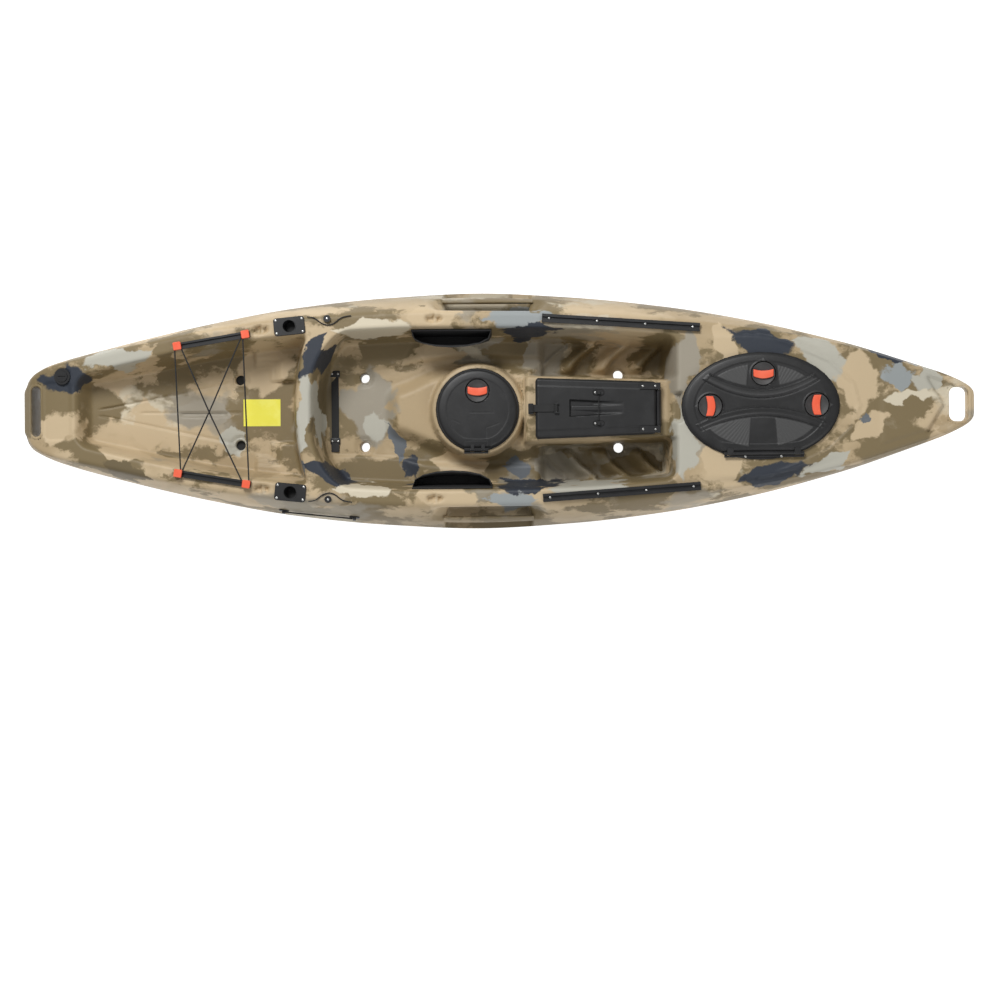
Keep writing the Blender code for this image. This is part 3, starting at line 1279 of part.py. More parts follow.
def paddle_keeper():
    """Two eyes on the starboard side with a cord stretched between them."""
    ends = []
    for drawn, label in zip(SIDE_EYE_X, ("aft", "fore")):
        x = along(drawn)
        y = side_surface(x, SIDE_EYE_Z)
        lean = atan2(side_surface(x, SIDE_EYE_Z - 0.01) - side_surface(x, SIDE_EYE_Z + 0.01), 0.02)
        plan = atan2(side_surface(x + 0.03, SIDE_EYE_Z) - side_surface(x - 0.03, SIDE_EYE_Z), 0.06)
        place = Matrix.Translation((x, -y - 0.0014, SIDE_EYE_Z)) @ Matrix.Rotation(-plan, 4, "Z")
        place = place @ Matrix.Rotation(pi / 2 - lean, 4, "X")
        deck_eye(f"side_eye_{label}", place, 0.036, 0.020)
        sign = 1 if label == "aft" else -1
        ends.append(place @ Vector((sign * (0.006 + GAP), 0.0, 0.0058)))
    tube("side_cord", [tuple(end) for end in ends], BUNGEE_RADIUS, BLACK_CORD)


def mesh_pocket(side, hand):
    """A net pouch, open at the top, against the inner wall beside the seat."""
    name = f"mesh_pocket_{hand}"
    pouch = add_object(name, prism(name, pouch_rows(side, 0.0)), BLACK_CORD)
    return combine(pouch, "DIFFERENCE", [helper(prism(f"{name}_inside", pouch_rows(side, POCKET_NET)))])


def pouch_rows(side, inset):
    """Outlines of the pouch at its foot and its mouth, moved in by inset."""
    middle, half = along(POCKET_X), POCKET_LENGTH / 2 - inset
    rows = []
    above = 0.02 if inset else 0.0
    for height, back, share in ((0.180 + inset, 0.0200, 0.55), (0.262 + above, 0.0060, 1.0)):
        back += inset
        bulge = POCKET_BULGE * share - 2 * inset
        wall = [(middle + dx, deck_edge(middle + dx) - GUNWALE - back) for dx in (-half, 0.0, half)]
        arc = []
        for i in range(1, 8):
            x = middle - half * cos(pi * i / 8)
            arc.append((x, deck_edge(x) - GUNWALE - back - bulge * sin(pi * i / 8) ** 0.7))
        rows.append(([(x, side * y) for x, y in (*reversed(wall), *arc)], height))
    return rows


def seat_strap():
    """Webbing across the foot of the seat back, with its buckle."""
    x = along(-0.545)
    base = SEAT_FLOOR + GAP
    webbing = box("seat_strap", (x - 0.0125, -0.104, base), (x + 0.0125, 0.138, base + 0.003))
    add_object("seat_strap", webbing, BLACK_CORD)
    buckle = rounded_box(0.030, 0.034, 0.004, 3, (x, -0.1215))
    add_object("strap_buckle", prism("strap_buckle", [(buckle, base), (offset(buckle, -0.002), base + 0.011)]),
               BLACK_PLASTIC, smooth=True)


def drain():
    """A threaded ring in the stern deck with a round plug in it."""
    x, y = along(DRAIN[0]), across(DRAIN[1])
    ring = cylinder("drain_ring", DRAIN_RADIUS, 0.0, 0.004, count=28)
    ring_obj = seat_on_deck(add_object("drain_ring", ring, BLACK_PLASTIC, smooth=True), x, y, 0.0012)
    neck = seat_on_deck(helper(cylinder("drain_neck", DRAIN_PLUG_RADIUS + 0.0022, -0.016, 0.002, count=28)), x, y, 0.0012)
    hole = seat_on_deck(helper(cylinder("drain_hole", DRAIN_PLUG_RADIUS, -0.1, 0.1, count=28)), x, y, 0.0012)
    combine(ring_obj, "UNION", [neck])
    combine(ring_obj, "DIFFERENCE", [hole])
    radius = DRAIN_PLUG_RADIUS - GAP
    plug = seat_on_deck(add_object("drain_plug", cylinder("drain_plug", radius, -0.014, 0.0065, count=28),
                                   BLACK_PLASTIC, smooth=True), x, y, 0.0012)
    slot = seat_on_deck(helper(box("drain_slot", (-0.013, -0.0015, 0.0035), (0.013, 0.0015, 0.02))), x, y, 0.0012)
    combine(plug, "DIFFERENCE", [slot])


def keel_wheel():
    """A wheel with a rubber tyre on an axle through the keel fin, with a cap outside each wall."""
    place = wheel_place()
    half = WHEEL_WIDTH / 2
    hub_radius = WHEEL_RADIUS - TYRE_THICKNESS
    hub = placed("keel_wheel", cylinder("keel_wheel", hub_radius - GAP, 0.002 - half, half - 0.002, count=32),
                 BLACK_PLASTIC, place)
    bore = helper(cylinder("hub_bore", AXLE_RADIUS + GAP, -0.1, 0.1, count=20))
    bore.matrix_world = place
    combine(hub, "DIFFERENCE", [bore])
    rim, edge = WHEEL_RADIUS, WHEEL_RADIUS - 0.005
    profile = [(edge, -half), (rim, 0.006 - half), (rim, half - 0.006), (edge, half)]
    tread = prism("wheel_tyre", [(ellipse(radius, radius, 36), z) for radius, z in profile])
    tyre = placed("wheel_tyre", tread, BLACK_RUBBER, place)
    inside = helper(cylinder("tyre_hole", hub_radius, -0.1, 0.1, count=32))
    inside.matrix_world = place
    combine(tyre, "DIFFERENCE", [inside])
    outside = max(half for _, _, half in FIN)
    placed("wheel_axle", cylinder("wheel_axle", AXLE_RADIUS, -outside, outside, count=20), STEEL, place)
    for sign, hand in ((1, "port"), (-1, "starboard")):
        low, high = sorted((sign * (outside + GAP), sign * (outside + 0.005)))
        cap = cylinder(f"axle_cap_{hand}", 0.0155, -high, -low, count=24)
        placed(f"axle_cap_{hand}", cap, BLACK_PLASTIC, place)


# ---------------------------------------------------------------- the kayak

hull_bottom()
hull_deck()
keel_wheel()
bow_hatch()
mid_hatch()
console()
for direction, board in ((1, "port"), (-1, "starboard")):
    rod_holder(direction, board)
    track_ends = [(along(x), direction * (deck_edge(along(x)) - GUNWALE / 2 + 0.004)) for x in GEAR_TRACK_X]
    track(f"gear_track_{board}", track_ends, GEAR_TRACK)
    paddle_park(direction, board)
    mesh_pocket(direction, board)
stern_rigging()
paddle_keeper()
seat_strap()
drain()
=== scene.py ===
"""A sit-on-top fishing kayak in mottled plastic: hull, hatches, console, rails, rigging and keel wheel.

Metres. +X is the bow, +Y is port, +Z is up.
"""

import json
from math import cos, pi, radians, sin

import bmesh
import bpy
import numpy as np
from mathutils import Matrix, Vector


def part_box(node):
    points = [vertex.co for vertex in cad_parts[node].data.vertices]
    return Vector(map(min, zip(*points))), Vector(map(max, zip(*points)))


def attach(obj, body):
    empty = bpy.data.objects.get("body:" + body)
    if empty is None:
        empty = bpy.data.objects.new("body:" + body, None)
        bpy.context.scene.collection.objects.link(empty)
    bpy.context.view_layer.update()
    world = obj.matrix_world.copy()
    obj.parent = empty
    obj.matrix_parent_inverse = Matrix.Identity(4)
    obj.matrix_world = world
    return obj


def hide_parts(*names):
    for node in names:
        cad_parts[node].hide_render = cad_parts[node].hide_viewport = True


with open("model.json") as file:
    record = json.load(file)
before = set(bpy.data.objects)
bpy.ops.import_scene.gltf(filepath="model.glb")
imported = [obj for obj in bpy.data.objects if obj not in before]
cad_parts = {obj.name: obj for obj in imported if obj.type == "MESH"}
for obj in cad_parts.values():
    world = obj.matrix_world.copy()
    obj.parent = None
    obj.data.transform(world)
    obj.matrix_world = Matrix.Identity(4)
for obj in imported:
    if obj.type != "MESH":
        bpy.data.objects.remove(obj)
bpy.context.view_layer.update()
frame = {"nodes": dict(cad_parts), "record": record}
NODES = frame["nodes"]

# ---------------------------------------------------------------- camera, floor and light


def look_down():
    """A camera straight above the deck, with the bow to the right."""
    lens = bpy.data.cameras.new("camera")
    lens.lens = 52.4
    lens.sensor_width = 36.0
    lens.clip_end = 60.0
    camera = bpy.data.objects.new("camera", lens)
    camera.location = (0.029, -0.311, 5.171)
    camera.rotation_euler = (0.0, 0.0, radians(-0.36))
    bpy.context.scene.collection.objects.link(camera)
    bpy.context.scene.camera = camera


def area_light(name, place, target, size, power):
    """A round soft light aimed at a place."""
    light = bpy.data.lights.new(name, "AREA")
    light.shape = "DISK"
    light.size = size
    light.energy = power
    lamp = bpy.data.objects.new(name, light)
    lamp.location = place
    lamp.rotation_euler = (Vector(target) - Vector(place)).to_track_quat("-Z", "Y").to_euler()
    bpy.context.scene.collection.objects.link(lamp)


look_down()
area_light("key", (-1.6, 3.2, 4.6), (0.0, 0.0, 0.1), 2.0, 250.0)
area_light("fill", (2.6, -3.4, 3.6), (0.0, 0.0, 0.1), 3.0, 60.0)
world = bpy.data.worlds.new("studio")
world.use_nodes = True
world.node_tree.nodes["Background"].inputs["Color"].default_value = (1.0, 1.0, 1.0, 1.0)
world.node_tree.nodes["Background"].inputs["Strength"].default_value = 0.36
bpy.context.scene.world = world

# ---------------------------------------------------------------- finishes


def linear(red, green, blue):
    """A colour as seen on a screen, as light."""
    channels = (c / 12.92 if c < 0.04045 else ((c + 0.055) / 1.055) ** 2.4 for c in (red, green, blue))
    return (*channels, 1.0)


class Wire:
    """A shader value: Python's operators on it add Math nodes."""

    def __init__(self, tree, socket):
        self.tree = tree
        self.socket = socket

    def math(self, operation, *others):
        node = self.tree.nodes.new("ShaderNodeMath")
        node.operation = operation
        for place, value in zip(node.inputs, others):
            feed(self.tree, place, value)
        return Wire(self.tree, node.outputs[0])

    def __add__(self, other):
        return self.math("ADD", self, other)

    def __sub__(self, other):
        return self.math("SUBTRACT", self, other)

    def __rsub__(self, other):
        return self.math("SUBTRACT", other, self)

    def __mul__(self, other):
        return self.math("MULTIPLY", self, other)

    def __truediv__(self, other):
        return self.math("DIVIDE", self, other)

    __radd__ = __add__
    __rmul__ = __mul__


def feed(tree, place, value):
    if isinstance(value, Wire):
        tree.links.new(value.socket, place)
    else:
        place.default_value = value


class Finish:
    """A material under construction."""

    def __init__(self, name, roughness=0.5, metallic=0.0, specular=0.5):
        self.material = bpy.data.materials.new(name)
        self.material.use_nodes = True
        self.tree = self.material.node_tree
        self.shader = self.tree.nodes["Principled BSDF"]
        self.shader.inputs["Roughness"].default_value = roughness
        self.shader.inputs["Metallic"].default_value = metallic
        self.shader.inputs["Specular IOR Level"].default_value = specular
        self.place = self.node("ShaderNodeTexCoord", out="Object")

    def node(self, kind, settings=None, sockets=None, out=0):
        made = self.tree.nodes.new(kind)
        for key, value in (settings or {}).items():
            setattr(made, key, value)
        for key, value in (sockets or {}).items():
            feed(self.tree, made.inputs[key], value)
        return Wire(self.tree, made.outputs[out])

    def noise(self, scale, detail=3.0, roughness=0.5, where=None, out="Fac"):
        sockets = {"Vector": where or self.place, "Scale": scale, "Detail": detail, "Roughness": roughness}
        return self.node("ShaderNodeTexNoise", {}, sockets, out)

    def stretched(self, scale, where=None):
        """The coordinates scaled by this much along each axis."""
        return self.node("ShaderNodeMapping", {}, {"Vector": where or self.place, "Scale": scale})

    def step(self, value, low, high):
        """0 below low, 1 above high, smooth between."""
        sockets = {"Value": value, "From Min": low, "From Max": high}
        return self.node("ShaderNodeMapRange", {"interpolation_type": "SMOOTHSTEP"}, sockets)

    def mix(self, share, first, second):
        sockets = {"Factor": share, 6: first, 7: second}
        return self.node("ShaderNodeMix", {"data_type": "RGBA"}, sockets, 2)

    def parts(self, vector):
        split = self.tree.nodes.new("ShaderNodeSeparateXYZ")
        feed(self.tree, split.inputs[0], vector)
        return [Wire(self.tree, split.outputs[i]) for i in range(3)]

    def bump(self, height, distance, strength=1.0):
        sockets = {"Height": height, "Distance": distance, "Strength": strength}
        self.set("Normal", self.node("ShaderNodeBump", {}, sockets))
        return self

    def set(self, socket, value):
        feed(self.tree, self.shader.inputs[socket], value)
        return self


TAN = linear(0.68, 0.60, 0.47)
SAND = linear(0.77, 0.69, 0.56)
CREAM = linear(0.82, 0.78, 0.69)
OLIVE = linear(0.49, 0.43, 0.31)
# BROWN also serves as painted shade: on the outer sides, towards the bottom and behind the seat back.
BROWN = linear(0.42, 0.37, 0.27)
SLATE = linear(0.19, 0.21, 0.245)
STEEL_GREY = linear(0.40, 0.42, 0.44)
MIST = linear(0.58, 0.60, 0.60)
PALE = linear(0.70, 0.69, 0.64)
STONE = linear(0.60, 0.57, 0.51)

# Splashes of colour in the moulding powder, and one patch of painted shade: x, y, half length, half width,
# turn in degrees, colour.
SPLASHES_AND_PAINTED_SHADE = (
    (-1.357, 0.021, 0.110, 0.070, 0, OLIVE), (-1.184, -0.035, 0.070, 0.085, 10, SAND),
    (-1.010, -0.015, 0.100, 0.060, 0, STONE), (-0.787, 0.149, 0.110, 0.080, 0, SAND),
    (-0.890, -0.095, 0.060, 0.050, 20, PALE), (-0.850, -0.190, 0.120, 0.050, -8, TAN),
    (-1.239, 0.172, 0.105, 0.036, 16, PALE), (-1.098, 0.189, 0.055, 0.042, 12, OLIVE),
    (-1.455, -0.060, 0.070, 0.080, -20, SAND), (-1.250, -0.150, 0.090, 0.040, -14, SAND),
    (-1.240, -0.205, 0.090, 0.030, -14, BROWN), (-1.430, 0.110, 0.094, 0.046, 8, SLATE),
    (-0.624, -0.006, 0.036, 0.170, 0, PALE), (-0.630, -0.180, 0.020, 0.065, 20, STEEL_GREY),
    (-0.591, 0.186, 0.085, 0.036, 55, SLATE), (-0.551, -0.226, 0.075, 0.033, -22, SLATE),
    # The brown splash first on the next line is painted shade below the seat back's wall.
    (-0.560, 0.030, 0.040, 0.150, 0, BROWN), (-0.409, 0.023, 0.110, 0.150, 0, STONE),
    (-0.395, -0.040, 0.060, 0.060, 0, PALE), (-0.374, -0.225, 0.075, 0.060, 0, OLIVE),
    (-0.357, 0.212, 0.085, 0.045, 0, OLIVE), (-0.240, 0.020, 0.100, 0.130, 0, TAN),
    (-0.333, -0.116, 0.022, 0.080, 8, STEEL_GREY), (-0.280, -0.200, 0.036, 0.044, 40, SLATE),
    (-0.183, 0.200, 0.110, 0.040, 0, SAND), (-0.096, -0.178, 0.100, 0.040, 0, SAND),
    (-0.394, 0.272, 0.130, 0.036, 3, CREAM), (-0.440, -0.275, 0.110, 0.032, -2, CREAM),
    (-0.189, 0.303, 0.092, 0.050, 0, SAND), (-0.160, -0.303, 0.110, 0.050, 0, SAND),
    (0.095, 0.207, 0.100, 0.065, 0, OLIVE), (0.025, -0.200, 0.060, 0.060, 0, OLIVE),
    (0.093, 0.305, 0.105, 0.034, 0, MIST), (0.076, -0.303, 0.100, 0.036, 0, MIST),
    (0.123, 0.268, 0.105, 0.024, -3, SLATE), (0.153, -0.252, 0.125, 0.026, 3, SLATE),
    (0.102, -0.193, 0.048, 0.044, 0, STEEL_GREY), (0.325, -0.268, 0.130, 0.030, 5, PALE),
    (0.190, 0.190, 0.085, 0.050, 30, STONE), (0.230, -0.200, 0.085, 0.050, -30, STONE),
    (0.560, 0.190, 0.080, 0.070, 0, OLIVE), (0.500, -0.190, 0.110, 0.060, 0, OLIVE),
    (0.640, 0.130, 0.055, 0.130, 0, STONE), (0.650, -0.120, 0.050, 0.140, 0, PALE),
    (0.780, 0.190, 0.050, 0.090, 0, SAND), (0.760, -0.170, 0.060, 0.100, 0, SAND),
    (0.908, 0.224, 0.118, 0.052, -14, SLATE), (0.932, -0.214, 0.120, 0.050, 15, SLATE),
    (1.098, 0.152, 0.105, 0.055, -38, PALE), (1.108, -0.185, 0.105, 0.034, 22, PALE),
    (1.208, 0.080, 0.072, 0.120, 0, SAND), (1.341, 0.092, 0.058, 0.050, 0, MIST),
    (1.440, 0.080, 0.050, 0.060, -20, PALE), (1.311, 0.158, 0.055, 0.018, -20, SLATE),
    (1.334, -0.128, 0.140, 0.075, 20, OLIVE), (1.374, 0.012, 0.090, 0.040, 0, CREAM),
    (1.391, -0.018, 0.038, 0.042, 0, OLIVE), (1.258, -0.072, 0.070, 0.045, 25, SAND),
    (1.240, -0.042, 0.022, 0.022, 0, STEEL_GREY), (1.530, -0.060, 0.060, 0.060, 0, TAN),
)


def camouflage(name):
    """Moulded plastic mottled in sand, olive, grey and slate: soft clouds, then ragged splashes, then painted
    shade in brown on the outer sides and towards the bottom.
    """
    made = Finish(name, specular=0.35)
    coarse = made.noise(3.2, 3.0, out="Color")
    fine = made.noise(26.0, 4.0, 0.6, out="Color")
    centred = {"operation": "MULTIPLY_ADD"}
    drift = made.node("ShaderNodeVectorMath", centred,
                      {0: coarse, 1: (0.13, 0.13, 0.13), 2: (-0.065, -0.065, -0.065)})
    ragged = made.node("ShaderNodeVectorMath", centred,
                       {0: fine, 1: (0.062, 0.044, 0.044), 2: (-0.031, -0.022, -0.022)})
    moved = made.node("ShaderNodeVectorMath", {"operation": "ADD"}, {0: made.place, 1: drift})
    moved = made.node("ShaderNodeVectorMath", {"operation": "ADD"}, {0: moved, 1: ragged})
    clouds = made.noise(1.0, 4.0, 0.55, made.stretched((2.2, 4.0, 5.0), moved))
    bands = made.noise(1.0, 5.0, 0.6, made.stretched((3.4, 6.0, 7.0), moved))
    greys = made.noise(1.0, 3.0, 0.5, made.stretched((2.6, 5.0, 6.0), moved))
    colour = made.mix(made.step(clouds, 0.40, 0.60), TAN, SAND)
    colour = made.mix(made.step(bands, 0.47, 0.53), colour, OLIVE)
    colour = made.mix(made.step(greys, 0.57, 0.64) * 0.8, colour, STONE)
    colour = made.mix(made.step(clouds, 0.62, 0.68) * 0.9, colour, CREAM)
    _, across, up = made.parts(made.place)
    # inboard is 1 on the deck between the gunwales; painted shade darkens what lies outside it.
    inboard = 1.0 - made.step(across.math("ABSOLUTE", across) - up * 0.25, 0.26, 0.33)
    local = made.node("ShaderNodeVectorMath", {"operation": "ADD"}, {0: made.place, 1: ragged})
    broad = made.noise(7.0, 2.0, 0.5, out="Color")
    drift_a_little = made.node("ShaderNodeVectorMath", centred,
                               {0: broad, 1: (0.16, 0.12, 0.10), 2: (-0.08, -0.06, -0.05)})
    local = made.node("ShaderNodeVectorMath", {"operation": "ADD"}, {0: local, 1: drift_a_little})
    for x, y, half_length, half_width, turn, tint in SPLASHES_AND_PAINTED_SHADE:
        angle = radians(turn)
        spot = made.node("ShaderNodeMapping", {"vector_type": "TEXTURE"},
                         {"Vector": local, "Location": (x, y, 0.0), "Rotation": (0.0, 0.0, angle),
                          "Scale": (half_length, half_width, 1000.0)})
        along, aside, _ = made.parts(spot)
        along, aside = along.math("ABSOLUTE", along), aside.math("ABSOLUTE", aside)
        reach = (along + aside) * 0.72 + along.math("MAXIMUM", along, aside) * 0.28
        colour = made.mix(1.0 - made.step(reach, 0.92, 1.10), colour, tint)
    worn = made.noise(9.0, 6.0, 0.65)
    colour = made.mix(made.step(worn, 0.60, 0.80) * 0.25, colour, CREAM)
    colour = made.mix(made.step(worn, 0.30, 0.18) * 0.25, colour, BROWN)
    # Painted shade: brown mixed in on the outer sides and towards the bottom, where the hull lies in shade.
    low = 1.0 - made.step(up, 0.035, 0.085)
    outside = 1.0 - inboard
    colour = made.mix(outside * 0.45, colour, BROWN)
    colour = made.mix(low * 0.35, colour, BROWN)
    made.set("Base Color", colour)
    made.set("Roughness", 0.42 + made.noise(60.0, 2.0) * 0.16)
    skin = made.noise(900.0, 2.0, 0.6) + made.noise(70.0, 2.0) * 1.5
    made.bump(skin, 0.0006, 0.35)
    return made.material


def moulded(name, colour, lighter, roughness=0.45, grain=900.0):
    """Injection-moulded plastic with a fine texture and faint rubbed patches."""
    made = Finish(name, roughness)
    rubbed = made.noise(14.0, 4.0, 0.6)
    made.set("Base Color", made.mix(made.step(rubbed, 0.42, 0.75), colour, lighter))
    made.set("Roughness", roughness - 0.05 + made.noise(35.0, 3.0) * 0.14)
    return made.bump(made.noise(grain, 2.0, 0.6), 0.0004, 0.35).material


def braided(name, colour, lighter):
    """Round braided cord or woven webbing."""
    made = Finish(name, 0.75)
    across = made.node("ShaderNodeTexWave", {"wave_type": "BANDS", "bands_direction": "DIAGONAL"},
                       {"Vector": made.place, "Scale": 130.0, "Distortion": 1.0})
    made.set("Base Color", made.mix(across, colour, lighter))
    return made.bump(across, 0.0006, 0.6).material


def metal(name, colour, roughness):
    made = Finish(name, roughness, 1.0)
    made.set("Base Color", made.mix(made.noise(160.0, 3.0), colour, linear(0.86, 0.86, 0.85)))
    made.set("Roughness", roughness + made.noise(240.0, 2.0) * 0.15)
    return made.material


HULL = camouflage("hull_plastic")
BLACK = moulded("black_plastic", linear(0.085, 0.085, 0.09), linear(0.14, 0.14, 0.145))
GREY_BLACK = moulded("grey_black_plastic", linear(0.20, 0.20, 0.20), linear(0.27, 0.27, 0.27), 0.55)
ORANGE = moulded("orange_plastic", linear(0.93, 0.37, 0.24), linear(0.95, 0.44, 0.32), 0.4)
# This black rubber finish also colours the discs of painted shade in the rod holders and the tank's drains.
RUBBER_AND_PAINTED_SHADE = moulded("black_rubber", linear(0.09, 0.09, 0.09), linear(0.14, 0.14, 0.14), 0.7, 500.0)
TYRE = moulded("tyre_rubber", linear(0.10, 0.10, 0.11), linear(0.16, 0.16, 0.17), 0.8, 400.0)
CORD = braided("black_cord", linear(0.08, 0.08, 0.08), linear(0.17, 0.17, 0.17))
STEEL = metal("bright_steel", linear(0.74, 0.74, 0.73), 0.28)
YELLOW = moulded("yellow_label", linear(0.93, 0.90, 0.30), linear(0.95, 0.93, 0.42), 0.5, 300.0)
FLOOR = moulded("floor", linear(0.60, 0.60, 0.60), linear(0.62, 0.62, 0.62), 0.85, 20.0)
FLOOR.node_tree.nodes["Principled BSDF"].inputs["Emission Color"].default_value = (1.0, 1.0, 1.0, 1.0)
FLOOR.node_tree.nodes["Principled BSDF"].inputs["Emission Strength"].default_value = 0.98

# ---------------------------------------------------------------- lines of the hull


def fair(*points):
    """A smooth line through (x, value) points that doesn't overshoot between them."""
    xs = np.array(points[0::2])
    ys = np.array(points[1::2])
    steps = np.diff(xs)
    slopes = np.diff(ys) / steps
    product = slopes[:-1] * slopes[1:]
    total = slopes[:-1] + slopes[1:]
    inner = np.where(product > 0, 2 * product / np.where(total == 0, 1, total), 0.0)
    tangents = np.concatenate([slopes[:1], inner, slopes[-1:]])

    def value(x):
        x = np.clip(x, xs[0], xs[-1])
        i = np.clip(np.searchsorted(xs, x, side="right") - 1, 0, len(xs) - 2)
        h = steps[i]
        t = (x - xs[i]) / h
        start = t * (1 - t) ** 2 * h * tangents[i]
        end = -t * t * (1 - t) * h * tangents[i + 1]
        return ys[i] + (ys[i + 1] - ys[i]) * (3 - 2 * t) * t * t + start + end

    return value


half_breadth = fair(
    -1.590, 0.085, -1.577, 0.121, -1.550, 0.140, -1.488, 0.1685, -1.281, 0.229, -0.973, 0.303, -0.666, 0.359,
    -0.355, 0.391, -0.044, 0.405, 0.268, 0.3895, 0.577, 0.355, 0.879, 0.299, 1.175, 0.220, 1.371, 0.153,
    1.500, 0.1035, 1.549, 0.080, 1.576, 0.063, 1.590, 0.048)
deck_edge = fair(
    -1.590, 0.072, -1.550, 0.122, -1.488, 0.153, -1.350, 0.184, -1.178, 0.222, -0.900, 0.276, -0.550, 0.314,
    -0.200, 0.329, 0.260, 0.323, 0.690, 0.288, 0.950, 0.251, 1.175, 0.200, 1.371, 0.140, 1.500, 0.097,
    1.549, 0.075, 1.576, 0.058, 1.590, 0.042)
plateau_edge = fair(
    -1.590, 0.050, -1.488, 0.110, -0.900, 0.190, 0.500, 0.215, 0.700, 0.225, 0.850, 0.232, 1.030, 0.197,
    1.175, 0.150, 1.371, 0.098, 1.500, 0.065, 1.590, 0.025)
sheer_line = fair(
    -1.590, 0.215, -1.572, 0.232, -1.551, 0.2485, -1.490, 0.263, -1.360, 0.2745, -1.160, 0.2885,
    -0.840, 0.297, -0.460, 0.290, -0.130, 0.2825, 0.110, 0.280,
    0.355, 0.284, 0.600, 0.2925, 0.830, 0.300, 0.970, 0.308,
    1.040, 0.319, 1.120, 0.336, 1.185, 0.3465, 1.280, 0.350, 1.430, 0.358, 1.590, 0.370)
parting_line = fair(
    -1.590, 0.170, -1.500, 0.163, -1.370, 0.1585, -0.900, 0.146, -0.300, 0.141, 0.250, 0.143, 0.400, 0.149,
    0.550, 0.160, 0.730, 0.181, 0.900, 0.205, 1.080, 0.234, 1.250, 0.268, 1.430, 0.303, 1.500, 0.326,
    1.590, 0.341)
chine_line = fair(
    -1.590, 0.152, -1.551, 0.122, -1.500, 0.110, -1.430, 0.102, -1.395, 0.097, -1.365, 0.090, -1.300, 0.080,
    -1.100, 0.065, -0.500, 0.052, -0.050, 0.054, 0.200, 0.069, 0.400, 0.087, 0.730, 0.118, 0.900, 0.145,
    1.080, 0.186, 1.180, 0.222, 1.300, 0.260, 1.430, 0.292, 1.500, 0.316, 1.590, 0.332)
chine_breadth = fair(-1.590, 0.88, -1.200, 0.93, 0.000, 0.94, 0.500, 0.89, 0.900, 0.81, 1.200, 0.80, 1.590,
                     0.86)
keel_line = fair(
    -1.590, 0.136, -1.572, 0.117, -1.551, 0.105, -1.500, 0.100, -1.440, 0.096, -1.395, 0.092, -1.350, 0.082,
    -1.300, 0.070, -1.200, 0.048, -1.100, 0.033, -0.950, 0.0175, -0.530, 0.0035, -0.300, 0.000, 0.000, 0.0035,
    0.414, 0.0175, 0.834, 0.0245, 1.044, 0.035, 1.149, 0.0455, 1.254, 0.0595, 1.310, 0.084, 1.352, 0.1225,
    1.394, 0.175, 1.436, 0.227, 1.478, 0.290, 1.500, 0.308, 1.590, 0.323)
flatness = fair(-1.590, 0.0, -1.350, 0.3, -1.100, 1.0, 0.300, 1.0, 0.900, 0.25, 1.200, 0.0, 1.590, 0.0)

HALF_LENGTH = 1.59
GUNWALE = 0.054
PLATEAU = (0.600, 1.185)


def smooth(low, high, value):
    """0 up to low, 1 from high on, smooth between."""
    t = np.clip((value - low) / (high - low), 0.0, 1.0)
    return t * t * (3 - 2 * t)


def deck_height(x):
    """Height of the deck at the centreline: the sheer, bridged by a plane under the bow hatch."""
    aft, fore = PLATEAU
    share = (x - aft) / (fore - aft)
    plane = sheer_line(aft) * (1 - share) + sheer_line(fore) * share
    return np.where((x > aft) & (x < fore), plane, sheer_line(x))


def corner(first, second, radius):
    """Distance inside a corner between two walls, rounded to this radius."""
    inside = np.hypot(np.maximum(radius - first, 0.0), np.maximum(radius - second, 0.0))
    return np.where((first >= radius) & (second >= radius), np.minimum(first, second), radius - inside)


def groove(x, y, points, width):
    """1 on a line through the points, falling to 0 at this distance from it."""
    nearest = np.full(np.shape(x), 9.0)
    for (ax, ay), (bx, by) in zip(points, points[1:]):
        run = (bx - ax, by - ay)
        t = np.clip(((x - ax) * run[0] + (y - ay) * run[1]) / (run[0] ** 2 + run[1] ** 2), 0.0, 1.0)
        nearest = np.minimum(nearest, np.hypot(x - ax - t * run[0], y - ay - t * run[1]))
    return 1.0 - smooth(0.0, width, nearest)


def beyond(x, y, points):
    """How far to port a place is of a line through the points, which run forwards."""
    xs = [px for px, _ in points]
    ys = [py for _, py in points]
    return y - np.interp(x, xs, ys)


bpy.context.scene.view_settings.view_transform = "Standard"

# ---------------------------------------------------------------- mesh tools


def show(name, mesh, finish, body, slot, *stands_for):
    """A finished mesh as a piece that rides on a body."""
    mesh.name = name
    mesh.materials.append(finish)
    piece = bpy.data.objects.new(name, mesh)
    bpy.context.scene.collection.objects.link(piece)
    if stands_for:
        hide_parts(*stands_for)
    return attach(piece, body)


def to_mesh(bm, sharp=35.0):
    mesh = bpy.data.meshes.new("piece")
    bmesh.ops.recalc_face_normals(bm, faces=bm.faces)
    bm.to_mesh(mesh)
    bm.free()
    mesh.shade_smooth()
    if sharp:
        mesh.set_sharp_from_angle(angle=radians(sharp))
    return mesh


def shaped_grid(columns, rows, place):
    """A grid whose vertices are moved by a rule of u and v, both from -1 to 1."""
    bm = bmesh.new()
    bmesh.ops.create_grid(bm, x_segments=columns, y_segments=rows, size=1.0)
    mesh = bpy.data.meshes.new("grid")
    bm.to_mesh(mesh)
    bm.free()
    flat = np.empty(len(mesh.vertices) * 3)
    mesh.vertices.foreach_get("co", flat)
    flat = flat.reshape(-1, 3)
    moved = np.stack(place(flat[:, 0], flat[:, 1]), axis=1)
    mesh.vertices.foreach_set("co", moved.ravel())
    bm = bmesh.new()
    bm.from_mesh(mesh)
    bpy.data.meshes.remove(mesh)
    return bm


def cut_away(bm, inside):
    """Removes every face with a corner where the rule holds."""
    bm.verts.ensure_lookup_table()
    places = np.array([v.co for v in bm.verts])
    gone = inside(places[:, 0], places[:, 1], places[:, 2])
    bmesh.ops.delete(bm, geom=[v for v, lost in zip(bm.verts, gone) if lost], context="VERTS")
    return bm


